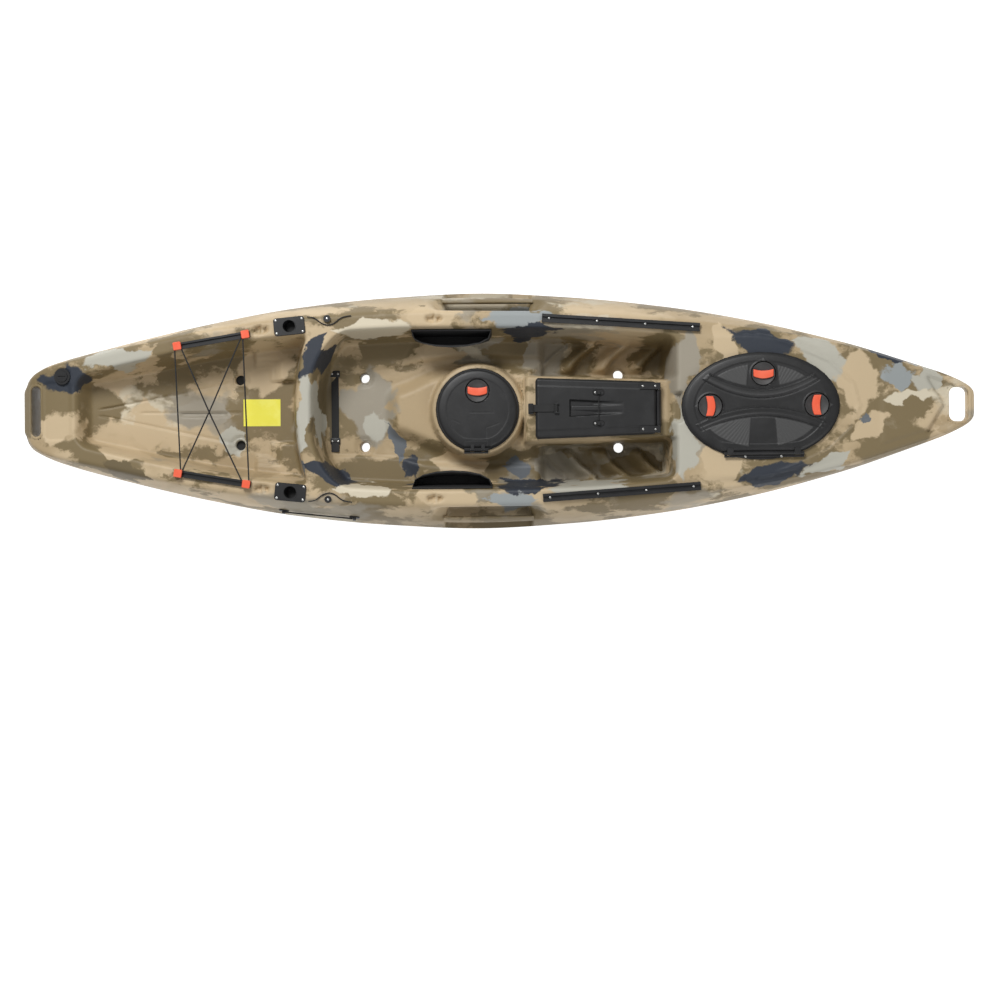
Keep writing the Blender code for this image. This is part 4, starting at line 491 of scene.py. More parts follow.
def loop_lofted(loops, closed_ends=True):
    """A closed skin through loops of the same number of points, made by bridging them in turn."""
    bm = bmesh.new()
    rings = []
    for points in loops:
        verts = [bm.verts.new(point) for point in points]
        rings.append([bm.edges.new((a, b)) for a, b in zip(verts, verts[1:] + verts[:1])])
    for first, second in zip(rings, rings[1:]):
        bmesh.ops.bridge_loops(bm, edges=first + second)
    if closed_ends:
        bmesh.ops.contextual_create(bm, geom=rings[0])
        bmesh.ops.contextual_create(bm, geom=rings[-1])
    return bm


def turned_on_lathe(profile, steps=48, place=Matrix.Identity(4)):
    """A profile of (radius, height) spun round Z, then put in place."""
    bm = bmesh.new()
    verts = [bm.verts.new((radius, 0.0, height)) for radius, height in profile]
    edges = [bm.edges.new(pair) for pair in zip(verts, verts[1:])]
    bmesh.ops.spin(bm, geom=verts + edges, cent=(0, 0, 0), axis=(0, 0, 1), angle=2 * pi, steps=steps,
                   use_merge=True)
    bmesh.ops.remove_doubles(bm, verts=bm.verts, dist=1e-6)
    bmesh.ops.transform(bm, matrix=place, verts=bm.verts)
    return bm


def joined(parts):
    """Several bmeshes as one."""
    whole = bmesh.new()
    for part in parts:
        mesh = bpy.data.meshes.new("part")
        part.to_mesh(mesh)
        part.free()
        whole.from_mesh(mesh)
        bpy.data.meshes.remove(mesh)
    return whole


def rounded_block(size, place, radius=0.002, segments=3):
    """A box with rounded edges."""
    bm = bmesh.new()
    bmesh.ops.create_cube(bm, size=1.0)
    bmesh.ops.scale(bm, vec=size, verts=bm.verts)
    bmesh.ops.bevel(bm, geom=bm.edges, offset=radius, offset_type="OFFSET", segments=segments, profile=0.5,
                    affect="EDGES", material=-1)
    bmesh.ops.transform(bm, matrix=place, verts=bm.verts)
    return bm


# ---------------------------------------------------------------- the hull's skin

TANK = (-1.400, -0.655)
SEAT_BACK, COCKPIT_FORE = -0.608, 0.623
SCUPPERS = [(x, side * y, floor) for x, y, floor in ((-0.871, 0.113, 0.130), (-0.443, 0.120, 0.100),
                                                     (0.442, 0.127, 0.066))
            for side in (1, -1)]
SCUPPER_HOLE = 0.0174
ROD_HOLDER_X, ROD_HOLDER_Y = -0.675, 0.27774
SEAT_HEIGHT, FOOT_HEIGHT, PLINTH_HEIGHT, PLINTH_X = 0.100, 0.066, 0.200, -0.049
WHEEL_X, WHEEL_RADIUS, WHEEL_GAP, POCKET_HALF = -1.395, 0.0735, 0.006, 0.0285
STERN_SLOT = (-1.5375, 0.037, 0.172, 0.018)
BOW_SLOT = (1.5415, 0.062, 0.116, 0.024)
BOW_HATCH = Matrix(((0.99577, 0, -0.09192, 0.893), (0, 1, 0, 0), (0.09192, 0, 0.99577, 0.31954),
                    (0, 0, 0, 1)))
MID_HATCH = Matrix.Translation((PLINTH_X, 0.0, PLINTH_HEIGHT))
GRIP_X, GRIP_HALF = -0.0125, 0.1375


def well_side(x):
    """Half width of the wells between the gunwales."""
    return deck_edge(x) - GUNWALE


def tank_depth(x, a):
    """How far inside the tank well's lip a place is."""
    width = well_side(-0.63)
    fore = TANK[1] + 0.042 * np.clip(a / width, 0.0, 1.2) ** 2
    return np.minimum(corner(well_side(x) - a, x - TANK[0], 0.045), corner(well_side(x) - a, fore - x, 0.030))


def cockpit_depth(x, a):
    """How far inside the cockpit's lip a place is."""
    aft = SEAT_BACK + 0.103 * np.clip(a / well_side(-0.505), 0.0, 1.2) ** 3
    return np.minimum(corner(well_side(x) - a, x - aft, 0.028),
                      corner(well_side(x) - a, COCKPIT_FORE - x, 0.040))


def tank_floor(x, y):
    """The tank well's floor: sloping aft, with grooves, a hollow and stepped corners."""
    a = np.abs(y)
    z = 0.178 - 0.048 * smooth(0.0, 1.0, (x + 1.400) / 0.36)
    vee = ((-1.34, 0.0120), (-1.30, 0.0190), (-0.905, 0.104))
    vee_half = np.interp(x, (-1.34, -0.905), (0.012, 0.104))
    inside = smooth(0.004, -0.004, a - vee_half) * smooth(-1.35, -1.32, x) * smooth(-0.84, -0.86, x)
    z = z - 0.0050 * groove(x, a, vee, 0.0055) - 0.003 * inside
    z = z - 0.0045 * groove(x, y, ((-1.205, 0.0), (-0.873, 0.0)), 0.0050)
    hollow = corner(0.080 - np.abs(x + 0.998), 0.0085 - np.abs(y + 0.0065), 0.006)
    z = z - 0.009 * smooth(-0.001, 0.004, hollow)
    for step in range(3):
        rise = np.maximum(x + 0.762 - 0.017 * step, a - 0.149 - 0.017 * step)
        z = z + 0.0075 * smooth(-0.002, 0.002, rise) * smooth(-0.818, -0.812, x) * smooth(0.104, 0.110, a)
    return z


def foot_ribs(x, a):
    """Bowls between curved ribs that the feet push against."""
    bend = 0.085 * np.clip((a - 0.125) / 0.10, 0.0, 1.0) ** 1.8
    along = x - bend
    edges = np.array((0.165, 0.269, 0.387, 0.509, 0.640))
    number = np.clip(np.searchsorted(edges, along) - 1, 0, 3)
    t = np.clip((along - edges[number]) / (edges[number + 1] - edges[number]), 0.0, 1.0)
    rise = smooth(0.40, 0.93, t) + smooth(0.13, 0.0, t) - smooth(0.93, 1.0, t) * 0.10
    within = smooth(0.160, 0.185, along) * smooth(0.118, 0.150, a)
    return rise * 0.042 * within


def cockpit_floor(x, y):
    """The seat, the foot wells, the horn between the thighs, the plinth and the pedestal."""
    a = np.abs(y)
    z = SEAT_HEIGHT + 0.018 * smooth(-0.50, -0.60, x) * smooth(0.05, 0.20, a)
    seat_line = ((-0.560, 0.150), (-0.420, 0.148), (-0.315, 0.160), (-0.148, 0.181), (0.02, 0.186))
    outside = beyond(x, a, seat_line)
    z = z + 0.010 * smooth(-0.004, 0.006, outside) - 0.0040 * groove(x, a, seat_line, 0.005)
    thigh = ((-0.315, 0.162), (-0.275, 0.231), (-0.272, 0.250))
    z = z - 0.004 * groove(x, a, thigh, 0.005)
    rise = smooth(-0.31, -0.25, x - 0.55 * (a - 0.162)) * smooth(0.0, 0.02, outside)
    z = z + 0.012 * rise * smooth(0.10, -0.05, x)
    footwell = np.minimum(corner(x - 0.160, well_side(x) - a, 0.03), corner(a - 0.102, 0.625 - x, 0.02))
    sunk = smooth(-0.006, 0.030, footwell)
    z = z + (FOOT_HEIGHT - z + foot_ribs(x, a)) * sunk
    horn = corner(x + 0.365, 0.088 + 0.075 * smooth(-0.36, -0.12, x) - a, 0.05)
    horn = np.minimum(horn, 0.16 - x)
    z = np.maximum(z, np.where(horn > -0.012, 0.100 + 0.046 * smooth(-0.012, 0.050, horn), 0.0))
    plinth = 0.160 - np.hypot(x - PLINTH_X, y)
    z = np.maximum(z, np.where(plinth > -0.016, 0.100 + 0.100 * smooth(-0.016, 0.009, plinth), 0.0))
    half = np.interp(x, (0.1135, 0.703), (0.115, 0.096))
    block = corner(half - a, x - 0.1135, 0.012)
    return np.maximum(z, 0.060 + 0.175 * smooth(-0.014, 0.005, block))


def deck_surface(x, y):
    """Height of the deck, with its wells, sunk fittings and creases."""
    a = np.abs(y)
    sheer, middle = sheer_line(x), deck_height(x)
    inner = np.minimum(plateau_edge(x), deck_edge(x) - 0.025)
    rise = 1.0 - smooth(0.0, 1.0, (a - inner) / np.maximum(deck_edge(x) - 0.011 - inner, 0.01))
    top = sheer + (middle - sheer) * rise
    crease = ((0.700, 0.262), (0.806, 0.2620), (0.922, 0.236), (1.021, 0.193), (1.121, 0.146), (1.194, 0.074),
              (1.215, 0.0))
    top = top + 0.0045 * groove(x, a, crease, 0.008) * smooth(0.69, 0.80, x)
    panel = corner(1.487 - x - 0.6 * a, x - 1.29, 0.03)
    side_panel = deck_edge(x) - 0.034 - a
    top = top + 0.004 * smooth(-0.002, 0.004, np.minimum(panel, side_panel))
    bow_low = np.minimum(np.minimum(x + 0.6 * a - 1.489, 1.534 - x), deck_edge(x) - 0.020 - a)
    top = top - 0.012 * smooth(-0.001, 0.008, bow_low)
    stern_low = corner(np.minimum(x + 1.513, -1.415 - x), 0.100 - a, 0.02)
    top = top - 0.004 * smooth(-0.001, 0.006, stern_low)
    for middle_x, side_y in ((-0.773, 0.2658), (-0.193, 0.302)):
        oval = 1.0 - np.hypot((x - middle_x) / 0.029, (a - side_y) / 0.0145)
        bar = smooth(0.0055, 0.0025, np.abs(x - middle_x - 0.005))
        top = top - 0.018 * smooth(-0.06, 0.22, oval) * (1.0 - 0.9 * bar)
    park = corner(0.080 - np.abs(x + 0.549), 0.013 - np.abs(a - deck_edge(x) + 0.014), 0.012)
    top = top - 0.0015 * smooth(-0.002, 0.002, park)
    z = top
    tank = tank_depth(x, a)
    z = z + (tank_floor(x, y) - z) * smooth(-0.004, 0.034, tank) * (tank > -0.004)
    cockpit = cockpit_depth(x, a)
    seat = cockpit_floor(x, y)
    z = np.where(cockpit > -0.004, z + (np.minimum(seat, z) - z) * smooth(-0.004, 0.034, cockpit), z)
    notch = corner(np.minimum(x - 0.560, 0.642 - x), 0.054 - a, 0.010)
    z = np.where(x > 0.575, np.minimum(z, top - 0.030 * smooth(0.0, 0.010, notch)), z)
    for sx, sy, _ in SCUPPERS:
        distance = np.hypot(x - sx, y - sy)
        z = z - 0.006 * smooth(0.036, 0.031, distance) - 0.004 * smooth(0.024, 0.019, distance)
    return z


def deck_wells_for_fittings(x, y, z):
    """The deck dropped under the hatches, the console tray and the drain plug."""
    local = (x - 0.893) * 0.99577 + (z - 0.31954) * 0.09192
    oval = 1.0 - np.hypot(local / 0.2175, y / 0.1335)
    hold = np.maximum(bottom_surface(x, y) + 0.008, 0.0)
    z = z + (hold - z) * smooth(0.0, 0.02, oval) * (oval > 0)
    mid = 0.1130 - np.hypot(x - PLINTH_X, y)
    z = z + (0.060 - z) * smooth(0.0, 0.003, mid)
    tray = np.minimum(0.180 - np.abs(x - 0.3505), 0.0745 - np.abs(y))
    z = z + (0.143 - z) * smooth(0.0, 0.003, tray)
    plug = 0.0235 - np.hypot(x + 1.4426, y - 0.1165)
    return z - 0.022 * smooth(0.0, 0.003, plug)


def bottom_surface(x, y):
    """Height of the outer bottom."""
    half = half_breadth(x)
    chine_y = half * chine_breadth(x)
    keel = keel_line(x)
    chine = np.maximum(chine_line(x), keel + 0.006)
    flat, rise = flatness(x), chine - keel
    heights = [keel, keel + 0.33 * rise * (1 - flat) + 0.016 * flat,
               keel + 0.66 * rise * (1 - flat) + (0.006 + 0.1 * rise) * flat, chine]
    share = np.clip(np.abs(y) / chine_y, 0.0, 1.0)
    z = heights[0]
    for number in range(3):
        t = np.clip(share * 3 - number, 0.0, 1.0) if number < 2 else np.clip((share - 2 / 3) * 3, 0.0, 1.0)
        eased = 0.5 * t + 0.5 * (t * t * (3 - 2 * t))
        z = z + (heights[number + 1] - heights[number]) * eased
    return z


def side_section(x, v):
    """Parting line at v = 0, up over the shoulder to the side deck at v = 1, as distance out and height."""
    half, edge = half_breadth(x), np.minimum(deck_edge(x), half_breadth(x) - 0.004)
    parting, top = parting_line(x), sheer_line(x)
    shoulder = np.minimum(0.018, 0.4 * (top - parting))
    bulge = 0.08 * (half - edge)
    outs = [half, edge + 0.55 * (half - edge) + bulge, edge + 0.06 * (half - edge) + bulge, edge - 0.003,
            edge - 0.011]
    ups = [parting, parting + 0.5 * (top - parting), top - shoulder, top - 0.25 * shoulder, top]
    knots = np.array((0.0, 0.42, 0.76, 0.91, 1.0))
    values = []
    for line in (outs, ups):
        line = [2 * line[0] - line[1], *line, 2 * line[-1] - line[-2] if line is outs else line[-1]]
        steps = np.array([knots[0] - knots[1], *knots, 1.05])
        i = np.clip(np.searchsorted(knots, v, side="right") - 1, 0, 3)
        t = (v - knots[i]) / (knots[i + 1] - knots[i])
        stack = np.stack(np.broadcast_arrays(*line))
        cols = np.arange(stack.shape[1])
        a, b, c, d = (stack[i + k, cols] for k in range(4))
        width = knots[i + 1] - knots[i]
        before = np.where(i > 0, steps[i + 1] - steps[i], width)
        after = np.where(i < 3, steps[np.minimum(i + 3, 6)] - steps[i + 2], width)
        m0 = (c - a) / (width + np.abs(before)) * width
        m1 = (d - b) / (width + np.abs(after)) * width
        values.append((2 * t ** 3 - 3 * t ** 2 + 1) * b + (t ** 3 - 2 * t ** 2 + t) * m0
                      + (3 * t ** 2 - 2 * t ** 3) * c + (t ** 3 - t ** 2) * m1)
    return values


def hand_recess(x, out, z):
    """The hull's side pulled in round each carrying bar."""
    wall = deck_edge(GRIP_X) - 0.002
    from_end = GRIP_HALF + 0.004 - np.abs(x - GRIP_X)
    slot_depth = smooth(-0.012, 0.006, from_end) * smooth(0.146, 0.156, z) * smooth(0.262, 0.235, z)
    scallop = smooth(-0.066, -0.006, from_end) * smooth(0.214, 0.226, z) * smooth(0.280, 0.262, z)
    pull = np.maximum(slot_depth, scallop)
    return out + (np.minimum(wall, out) - out) * pull


def end_share(u):
    """Station and how much of its section is open, so that each end closes in a flat cap."""
    stretch = 0.985
    x = np.clip(u / stretch, -1.0, 1.0) * HALF_LENGTH
    open_share = np.clip((1.0 - np.abs(u)) / (1.0 - stretch), 0.0, 1.0)
    return x, open_share


def deck_skin(u, v):
    """The deck from one parting line over to the other."""
    x, share = end_share(u)
    side = np.sign(v)
    a = np.abs(v)
    side_v = np.clip((1.0 - a) / 0.22, 0.0, 1.0)
    out, up = side_section(x, side_v)
    edge = np.minimum(deck_edge(x), half_breadth(x) - 0.004) - 0.011
    lip = np.minimum(GUNWALE - 0.011, edge * 0.5)
    wall = np.minimum(0.036, (edge - lip) * 0.4)
    across = np.interp(a, (0.0, 0.54, 0.68, 0.78), (0.0, 1.0, 2.0, 3.0))
    inner = edge - lip - wall
    y_top = np.where(across < 1, across * inner, np.where(across < 2, inner + (across - 1) * wall,
                                                         inner + wall + (across - 2) * lip))
    on_side = a > 0.78
    y = side * np.where(on_side, hand_recess(x, out, up), y_top)
    z_top = deck_surface(x, np.where(on_side, edge * side, y))
    z_top = deck_wells_for_fittings(x, y, z_top)
    blend_edge = smooth(0.70, 0.78, a)
    z_top = z_top + (sheer_line(x) - z_top) * blend_edge * (np.abs(z_top - sheer_line(x)) < 0.01)
    z = np.where(on_side, up, z_top)
    middle = parting_line(x)
    return x, y * share, middle + (z - middle) * share


def in_slot(x, y, slot, grow=0.0):
    """Whether a place is inside a carrying slot."""
    centre, length, width, radius = slot
    return corner(length / 2 - np.abs(x - centre), width / 2 - np.abs(y), radius) > -grow


def hull_holes(x, y, z):
    """The carrying slots and the scuppers."""
    gone = in_slot(x, y, STERN_SLOT, 0.001) | in_slot(x, y, BOW_SLOT, 0.001)
    for sx, sy, floor in SCUPPERS:
        gone |= (np.hypot(x - sx, y - sy) < SCUPPER_HOLE) & (z < floor + 0.004)
    return gone


def deck_holes(x, y, z):
    """The hull's holes and the mouths of the rod holders."""
    return hull_holes(x, y, z) | (np.hypot(x - ROD_HOLDER_X, np.abs(y) - ROD_HOLDER_Y) < 0.0215)


deck = shaped_grid(480, 132, deck_skin)
cut_away(deck, deck_holes)
bmesh.ops.remove_doubles(deck, verts=deck.verts, dist=1e-6)
show("deck_skin", to_mesh(deck, 0), HULL, "hull", "hull", "hull_deck")


def bottom_skin(u, v):
    """The bottom, round both chines and up to the parting lines."""
    x, share = end_share(u)
    side, a = np.sign(v), np.abs(v)
    half = half_breadth(x)
    chine_y, chine_z = half * chine_breadth(x), np.maximum(chine_line(x), keel_line(x) + 0.006)
    flat_y = np.minimum(a / 0.72, 1.0) * chine_y
    t = np.clip((a - 0.72) / 0.28, 0.0, 1.0)
    side_y = chine_y + 0.62 * (half - chine_y)
    side_z = chine_z + 0.45 * (parting_line(x) - chine_z)
    curve = 2 * t * (1 - t)
    y_side = (1 - t) ** 2 * chine_y + curve * (2 * side_y - 0.5 * (chine_y + half)) + t * t * half
    z_side = (1 - t) ** 2 * chine_z + curve * (2 * side_z - 0.5
                                               * (chine_z + parting_line(x))) + t * t * parting_line(x)
    y = side * np.where(a > 0.72, y_side, flat_y)
    z = np.where(a > 0.72, z_side, bottom_surface(x, flat_y))
    middle = parting_line(x)
    return x, y * share, middle + (z - middle) * share


def bottom_holes(x, y, z):
    """The hull's holes and the wheel's pocket."""
    wheel = (np.abs(x - WHEEL_X) < 0.0805) & (np.abs(y) < POCKET_HALF)
    return hull_holes(x, y, z) | wheel


bottom = shaped_grid(420, 72, bottom_skin)
cut_away(bottom, bottom_holes)
bmesh.ops.remove_doubles(bottom, verts=bottom.verts, dist=1e-6)
bmesh.ops.reverse_faces(bottom, faces=bottom.faces)
show("bottom_skin", to_mesh(bottom, 0), HULL, "hull", "hull", "hull_bottom")

# ---------------------------------------------------------------- edges of the openings


def rounded_outline(centre, length, width, radius, steps=6):
    """A rounded rectangle, anticlockwise."""
    points = []
    for quarter, (sx, sy) in enumerate(((1, 1), (-1, 1), (-1, -1), (1, -1))):
        cx, cy = centre[0] + sx * (length / 2 - radius), centre[1] + sy * (width / 2 - radius)
        for i in range(steps + 1):
            angle = pi / 2 * (quarter + i / steps)
            points.append((cx + radius * cos(angle), cy + radius * sin(angle)))
    return points


def slot_rim(name, slot):
    """The rolled edge of a carrying slot, above and below, with the wall between."""
    x, length, width, radius = slot
    loops = []
    deck_side = ((0.0090, -0.004), (0.0075, 0.0004), (0.0045, 0.0014), (0.0015, 0.0014), (-0.0008, 0.0002))
    keel_side = ((-0.0008, 0.0020), (0.0010, -0.0012), (0.0050, -0.0030), (0.0105, -0.0012), (0.0120, 0.0040))
    for rows, surface in ((deck_side, deck_surface), (keel_side, bottom_surface)):
        for out, lift in rows:
            points = rounded_outline((x, 0.0), length + 2 * out, width + 2 * out, radius + out)
            heights = surface(np.array([p[0] for p in points]), np.array([p[1] for p in points]))
            loops.append([(px, py, float(pz) + lift) for (px, py), pz in zip(points, heights)])
    return show(name, to_mesh(loop_lofted(loops + loops[:1], closed_ends=False), 60), HULL, "hull", "hull")


def scupper_tubes():
    """A drain tube through the hull at each scupper, with a rounded mouth."""
    tubes = []
    for x, y, floor in SCUPPERS:
        low = float(bottom_surface(np.array([x]), np.array([y]))[0])
        top = floor - 0.010
        mouth = ((0.0270, top - 0.003), (0.0262, top + 0.0006), (0.0235, top + 0.0022))
        bore = ((0.0195, top + 0.0016), (0.0170, top - 0.0020), (0.0170, low + 0.003))
        foot = ((0.0185, low - 0.0008), (0.0260, low - 0.0016), (0.0290, low + 0.0030))
        profile = (*mouth, *bore, *foot, (0.0230, low + 0.010), (0.0230, top - 0.006), mouth[0])
        tubes.append(turned_on_lathe(profile, 36, Matrix.Translation((x, y, 0.0))))
    return show("scupper_tubes", to_mesh(joined(tubes), 50), HULL, "hull", "hull")


def grip_bar(side, hand):
    """The moulded bar that a hand closes round, across the recess in the hull's side."""
    inner = 0.3605
    loops = []
    for i in range(25):
        x = GRIP_X + (GRIP_HALF + 0.016) * (i / 12 - 1)
        section = []
        for j in range(20):
            turn = 2 * pi * j / 20
            sx, sz = cos(turn), sin(turn)
            height = 0.2025 + 0.0190 * np.sign(sz) * abs(sz) ** 0.6
            v = 0.42 * (height - 0.141) / 0.07
            out = float(side_section(np.array([x]), np.array([np.clip(v, 0.0, 1.0)]))[0][0]) - 0.0015
            y = (inner + out) / 2 + (out - inner) / 2 * np.sign(sx) * abs(sx) ** 0.6
            section.append((x, side * y, height))
        loops.append(section)
    return show(f"grip_bar_{hand}", to_mesh(loop_lofted(loops), 50), HULL, "hull", "hull")


slot_rim("stern_slot_rim", STERN_SLOT)
slot_rim("bow_slot_rim", BOW_SLOT)
scupper_tubes()
grip_bar(1, "port")
grip_bar(-1, "starboard")


def solid_copy(bm):
    """A shape as an object, for cutting."""
    mesh = to_mesh(bm, 0)
    piece = bpy.data.objects.new("helper", mesh)
    bpy.context.scene.collection.objects.link(piece)
    return piece


def carved(base, *cutters):
    """The first shape less the others, as a mesh."""
    body = solid_copy(base)
    tools = [solid_copy(cutter) for cutter in cutters]
    for tool in tools:
        cut = body.modifiers.new("cut", "BOOLEAN")
        cut.operation = "DIFFERENCE"
        cut.solver = "EXACT"
        cut.object = tool
    mesh = bpy.data.meshes.new_from_object(body.evaluated_get(bpy.context.evaluated_depsgraph_get()))
    for piece in (body, *tools):
        bpy.data.objects.remove(piece)
    return mesh


fin_low = fair(-1.490, 0.100, -1.475, 0.075, -1.455, 0.052, -1.425, 0.034, -1.390, 0.027, -1.320, 0.025,
               -1.230, 0.026,
               -1.120, 0.024, -1.000, 0.019)
fin_half = fair(-1.490, 0.034, -1.475, 0.038, -1.455, 0.040, -1.320, 0.040, -1.230, 0.030, -1.120, 0.018,
                -1.000, 0.008)


def wheel_housing():
    """The fairing under the stern that holds the wheel, open below."""
    loops = []
    for i in range(44):
        x = -1.488 + 0.488 * i / 43
        low, half = float(fin_low(np.array([x]))[0]), float(fin_half(np.array([x]))[0])
        top = 0.160 if x < -1.303 else float(keel_line(np.array([x]))[0]) + 0.012
        edge = min(0.012, 0.4 * (top - low))
        section = []
        for side in (1, -1):
            arc = [(side * (half - edge + edge * sin(pi / 2 * j / 5)),
                    low + edge - edge * cos(pi / 2 * j / 5))
                   for j in range(6)]
            section += arc if side > 0 else arc[::-1]
            if side > 0:
                section += [(half, top), (-half, top)]
        loops.append([(x, y, z) for y, z in section])
    pocket = []
    radius, reach = WHEEL_RADIUS + WHEEL_GAP, POCKET_HALF
    arch = [(WHEEL_X + radius * cos(pi * i / 30),
             WHEEL_RADIUS + radius * sin(pi * i / 30)) for i in range(31)]
    side = [(WHEEL_X + radius, -0.05), *arch, (WHEEL_X - radius, -0.05)]
    for y in (-reach, reach):
        pocket.append([(px, y, pz) for px, pz in side])
    mesh = carved(loop_lofted(loops), loop_lofted(pocket))
    mesh.shade_smooth()
    mesh.set_sharp_from_angle(angle=radians(38))
    return show("wheel_housing", mesh, HULL, "hull", "hull")


wheel_housing()

# ---------------------------------------------------------------- hatches

HATCH_SKIRT, HATCH_BASE = 0.0086, 0.0106


def marked_plastic(name, colour, lighter, mark):
    """Black moulded plastic whose worn or textured parts, held in an attribute, are paler."""
    made = Finish(name, 0.5)
    rubbed = made.noise(16.0, 4.0, 0.6)
    share = made.node("ShaderNodeAttribute", {"attribute_name": "mark"}, out="Fac")
    base = made.mix(made.step(rubbed, 0.42, 0.75), colour, lighter)
    made.set("Base Color", made.mix(share, base, mark))
    made.set("Roughness", 0.40 + made.noise(35.0, 3.0) * 0.14 + share * 0.12)
    return made.bump(made.noise(900.0, 2.0, 0.6) + share * made.noise(500.0, 1.0) * 2.0, 0.0004, 0.4).material


PANEL_BLACK = marked_plastic("lid_plastic", linear(0.10, 0.10, 0.103), linear(0.14, 0.14, 0.143),
                             linear(0.26, 0.26, 0.26))


def mark(mesh, share):
    """Stores how pale each place is."""
    flat = np.empty(len(mesh.vertices) * 3)
    mesh.vertices.foreach_get("co", flat)
    flat = flat.reshape(-1, 3)
    attribute = mesh.attributes.new("mark", "FLOAT", "POINT")
    attribute.data.foreach_set("value", share(flat[:, 0], flat[:, 1], flat[:, 2]).astype(np.float32))
    return mesh


def disc_grid(u, v):
    """A square grid's coordinates bent to a round outline."""
    return u * np.sqrt(1 - v * v / 2), v * np.sqrt(1 - u * u / 2)


def skirted(bm, levels):
    """Carries the open edge of a surface down and inwards, as (share of its size, height), and closes it."""
    for share, height in levels:
        rim = [e for e in bm.edges if e.is_boundary]
        grown = bmesh.ops.extrude_edge_only(bm, edges=rim)["geom"]
        for vert in (g for g in grown if isinstance(g, bmesh.types.BMVert)):
            vert.co = (vert.co.x * share, vert.co.y * share, height)
    bmesh.ops.holes_fill(bm, edges=[e for e in bm.edges if e.is_boundary])
    return bm


def knuckle(low, high, hinge_y, height=0.0148, radius=0.0060):
    """One barrel of a lid's hinge with the arm that carries it."""
    turns = (pi / 2 + pi * i / 12 for i in range(13))
    section = [(hinge_y + radius * cos(t), height + radius * sin(t)) for t in turns]
    section += [(hinge_y + radius + 0.012, height - 0.001), (hinge_y + radius + 0.012, height + radius)]
    return loop_lofted([[(x, y, z) for y, z in section] for x in (low, high)])


bow_crown = fair(0.0, 0.0231, 0.40, 0.0231, 0.80, 0.0221, 0.90, 0.0206, 0.965, 0.0187, 1.0, 0.0150)
BOW_A, BOW_B = 0.2545, 0.173
BOW_LATCHES = (("aft", -0.165, 0.0, 0.0), ("fore", 0.184, 0.0, pi), ("port", 0.010, 0.106, -pi / 2))


def upper_band(x):
    """Middle line of the bow lid's port band."""
    return 0.040 + 0.060 * ((x - 0.005) / 0.188) ** 2


def lower_band(x):
    """Middle line of the bow lid's starboard band."""
    return -0.020 - 0.042 * ((x - 0.005) / 0.190) ** 2


def bow_panels(x, y):
    """1 on the four ribbed panels of the bow lid."""
    r = np.hypot(x / BOW_A, y / BOW_B)
    off = np.abs(x - 0.008)
    upper = np.minimum(np.minimum(y - upper_band(x) - 0.021, (0.80 - r) * 0.2),
                       off - 0.047 - 0.10 * (0.13 - y))
    lower = np.minimum(np.minimum(lower_band(x) - 0.018 - y, (0.80 - r) * 0.2),
                       off - 0.040 + 0.08 * (y + 0.05))
    return smooth(0.0, 0.003, np.maximum(upper, lower))


def pointers(x, y):
    """Small triangles outside each latch, towards the rim."""
    found = np.zeros(np.shape(x))
    for _, lx, ly, turn in BOW_LATCHES:
        along = -(x - lx) * cos(turn) - (y - ly) * sin(turn) - 0.0425
        aside = np.abs(-(x - lx) * sin(turn) + (y - ly) * cos(turn))
        found = np.maximum(found, smooth(-0.0006, 0.0012,
                                         np.minimum(along, 0.0055 * (1 - along / 0.010) - aside)))
    return found


def bow_lid_surface(u, v):
    """The bow lid's top, with bands, ribbed panels and the latches' dishes."""
    dx, dy = disc_grid(u, v)
    x, y = dx * BOW_A, dy * BOW_B
    span = BOW_B * np.sqrt(np.maximum(1 - (x / BOW_A) ** 2, 1e-6))
    y = np.where(y < 0, y * np.minimum(1.0, 0.149 / span), y)
    z = bow_crown(np.minimum(np.hypot(dx, dy), 1.0))
    r = np.hypot(dx, dy)
    z = z - 0.0016 * smooth(0.865, 0.845, r)
    within = smooth(0.92, 0.88, r)
    for band in (upper_band, lower_band):
        away = np.abs(y - band(x))
        z = z + within * (0.0022 * smooth(0.0150, 0.0125, away) - 0.0010 * smooth(0.0060, 0.0035, away))
        z = z - within * 0.0014 * smooth(0.0205, 0.0165, away) * smooth(0.0135, 0.0160, away)
    panel = bow_panels(x, y)
    fan = np.arctan2(x - 0.008, np.abs(y) + 0.02) * 46
    z = z + panel * (0.0010 + 0.0005 * np.sin(fan * 2))
    z = z + 0.0006 * pointers(x, y)
    for _, lx, ly, _ in BOW_LATCHES:
        distance = np.hypot(x - lx, y - ly)
        z = z + 0.0012 * smooth(0.0470, 0.0440, distance)
        z = z + (0.0128 - z) * smooth(0.0410, 0.0395, distance)
    return x, y, np.minimum(z, 0.0243)


def bow_lid():
    """The bow hatch's lid with its two hinge barrels."""
    surface = skirted(shaped_grid(220, 150, bow_lid_surface),
                      ((1.0, HATCH_SKIRT + 0.002), (0.998, HATCH_SKIRT), (0.982, HATCH_SKIRT),
                       (0.978, HATCH_BASE)))
    whole = joined([surface, knuckle(-0.110, -0.090, -0.158), knuckle(0.110, 0.130, -0.158)])
    mesh = mark(to_mesh(whole, 40), lambda x, y, z: np.maximum(bow_panels(x, y), pointers(x, y)) * (z > 0.015)
                + 0.35 * (np.abs(y - upper_band(x)) < 0.006) * (np.hypot(x / BOW_A, y / BOW_B) < 0.85))
    mesh.transform(BOW_HATCH)
    show("bow_lid_cover", mesh, PANEL_BLACK, "bow_lid", "black_plastic", "bow_hatch_lid")


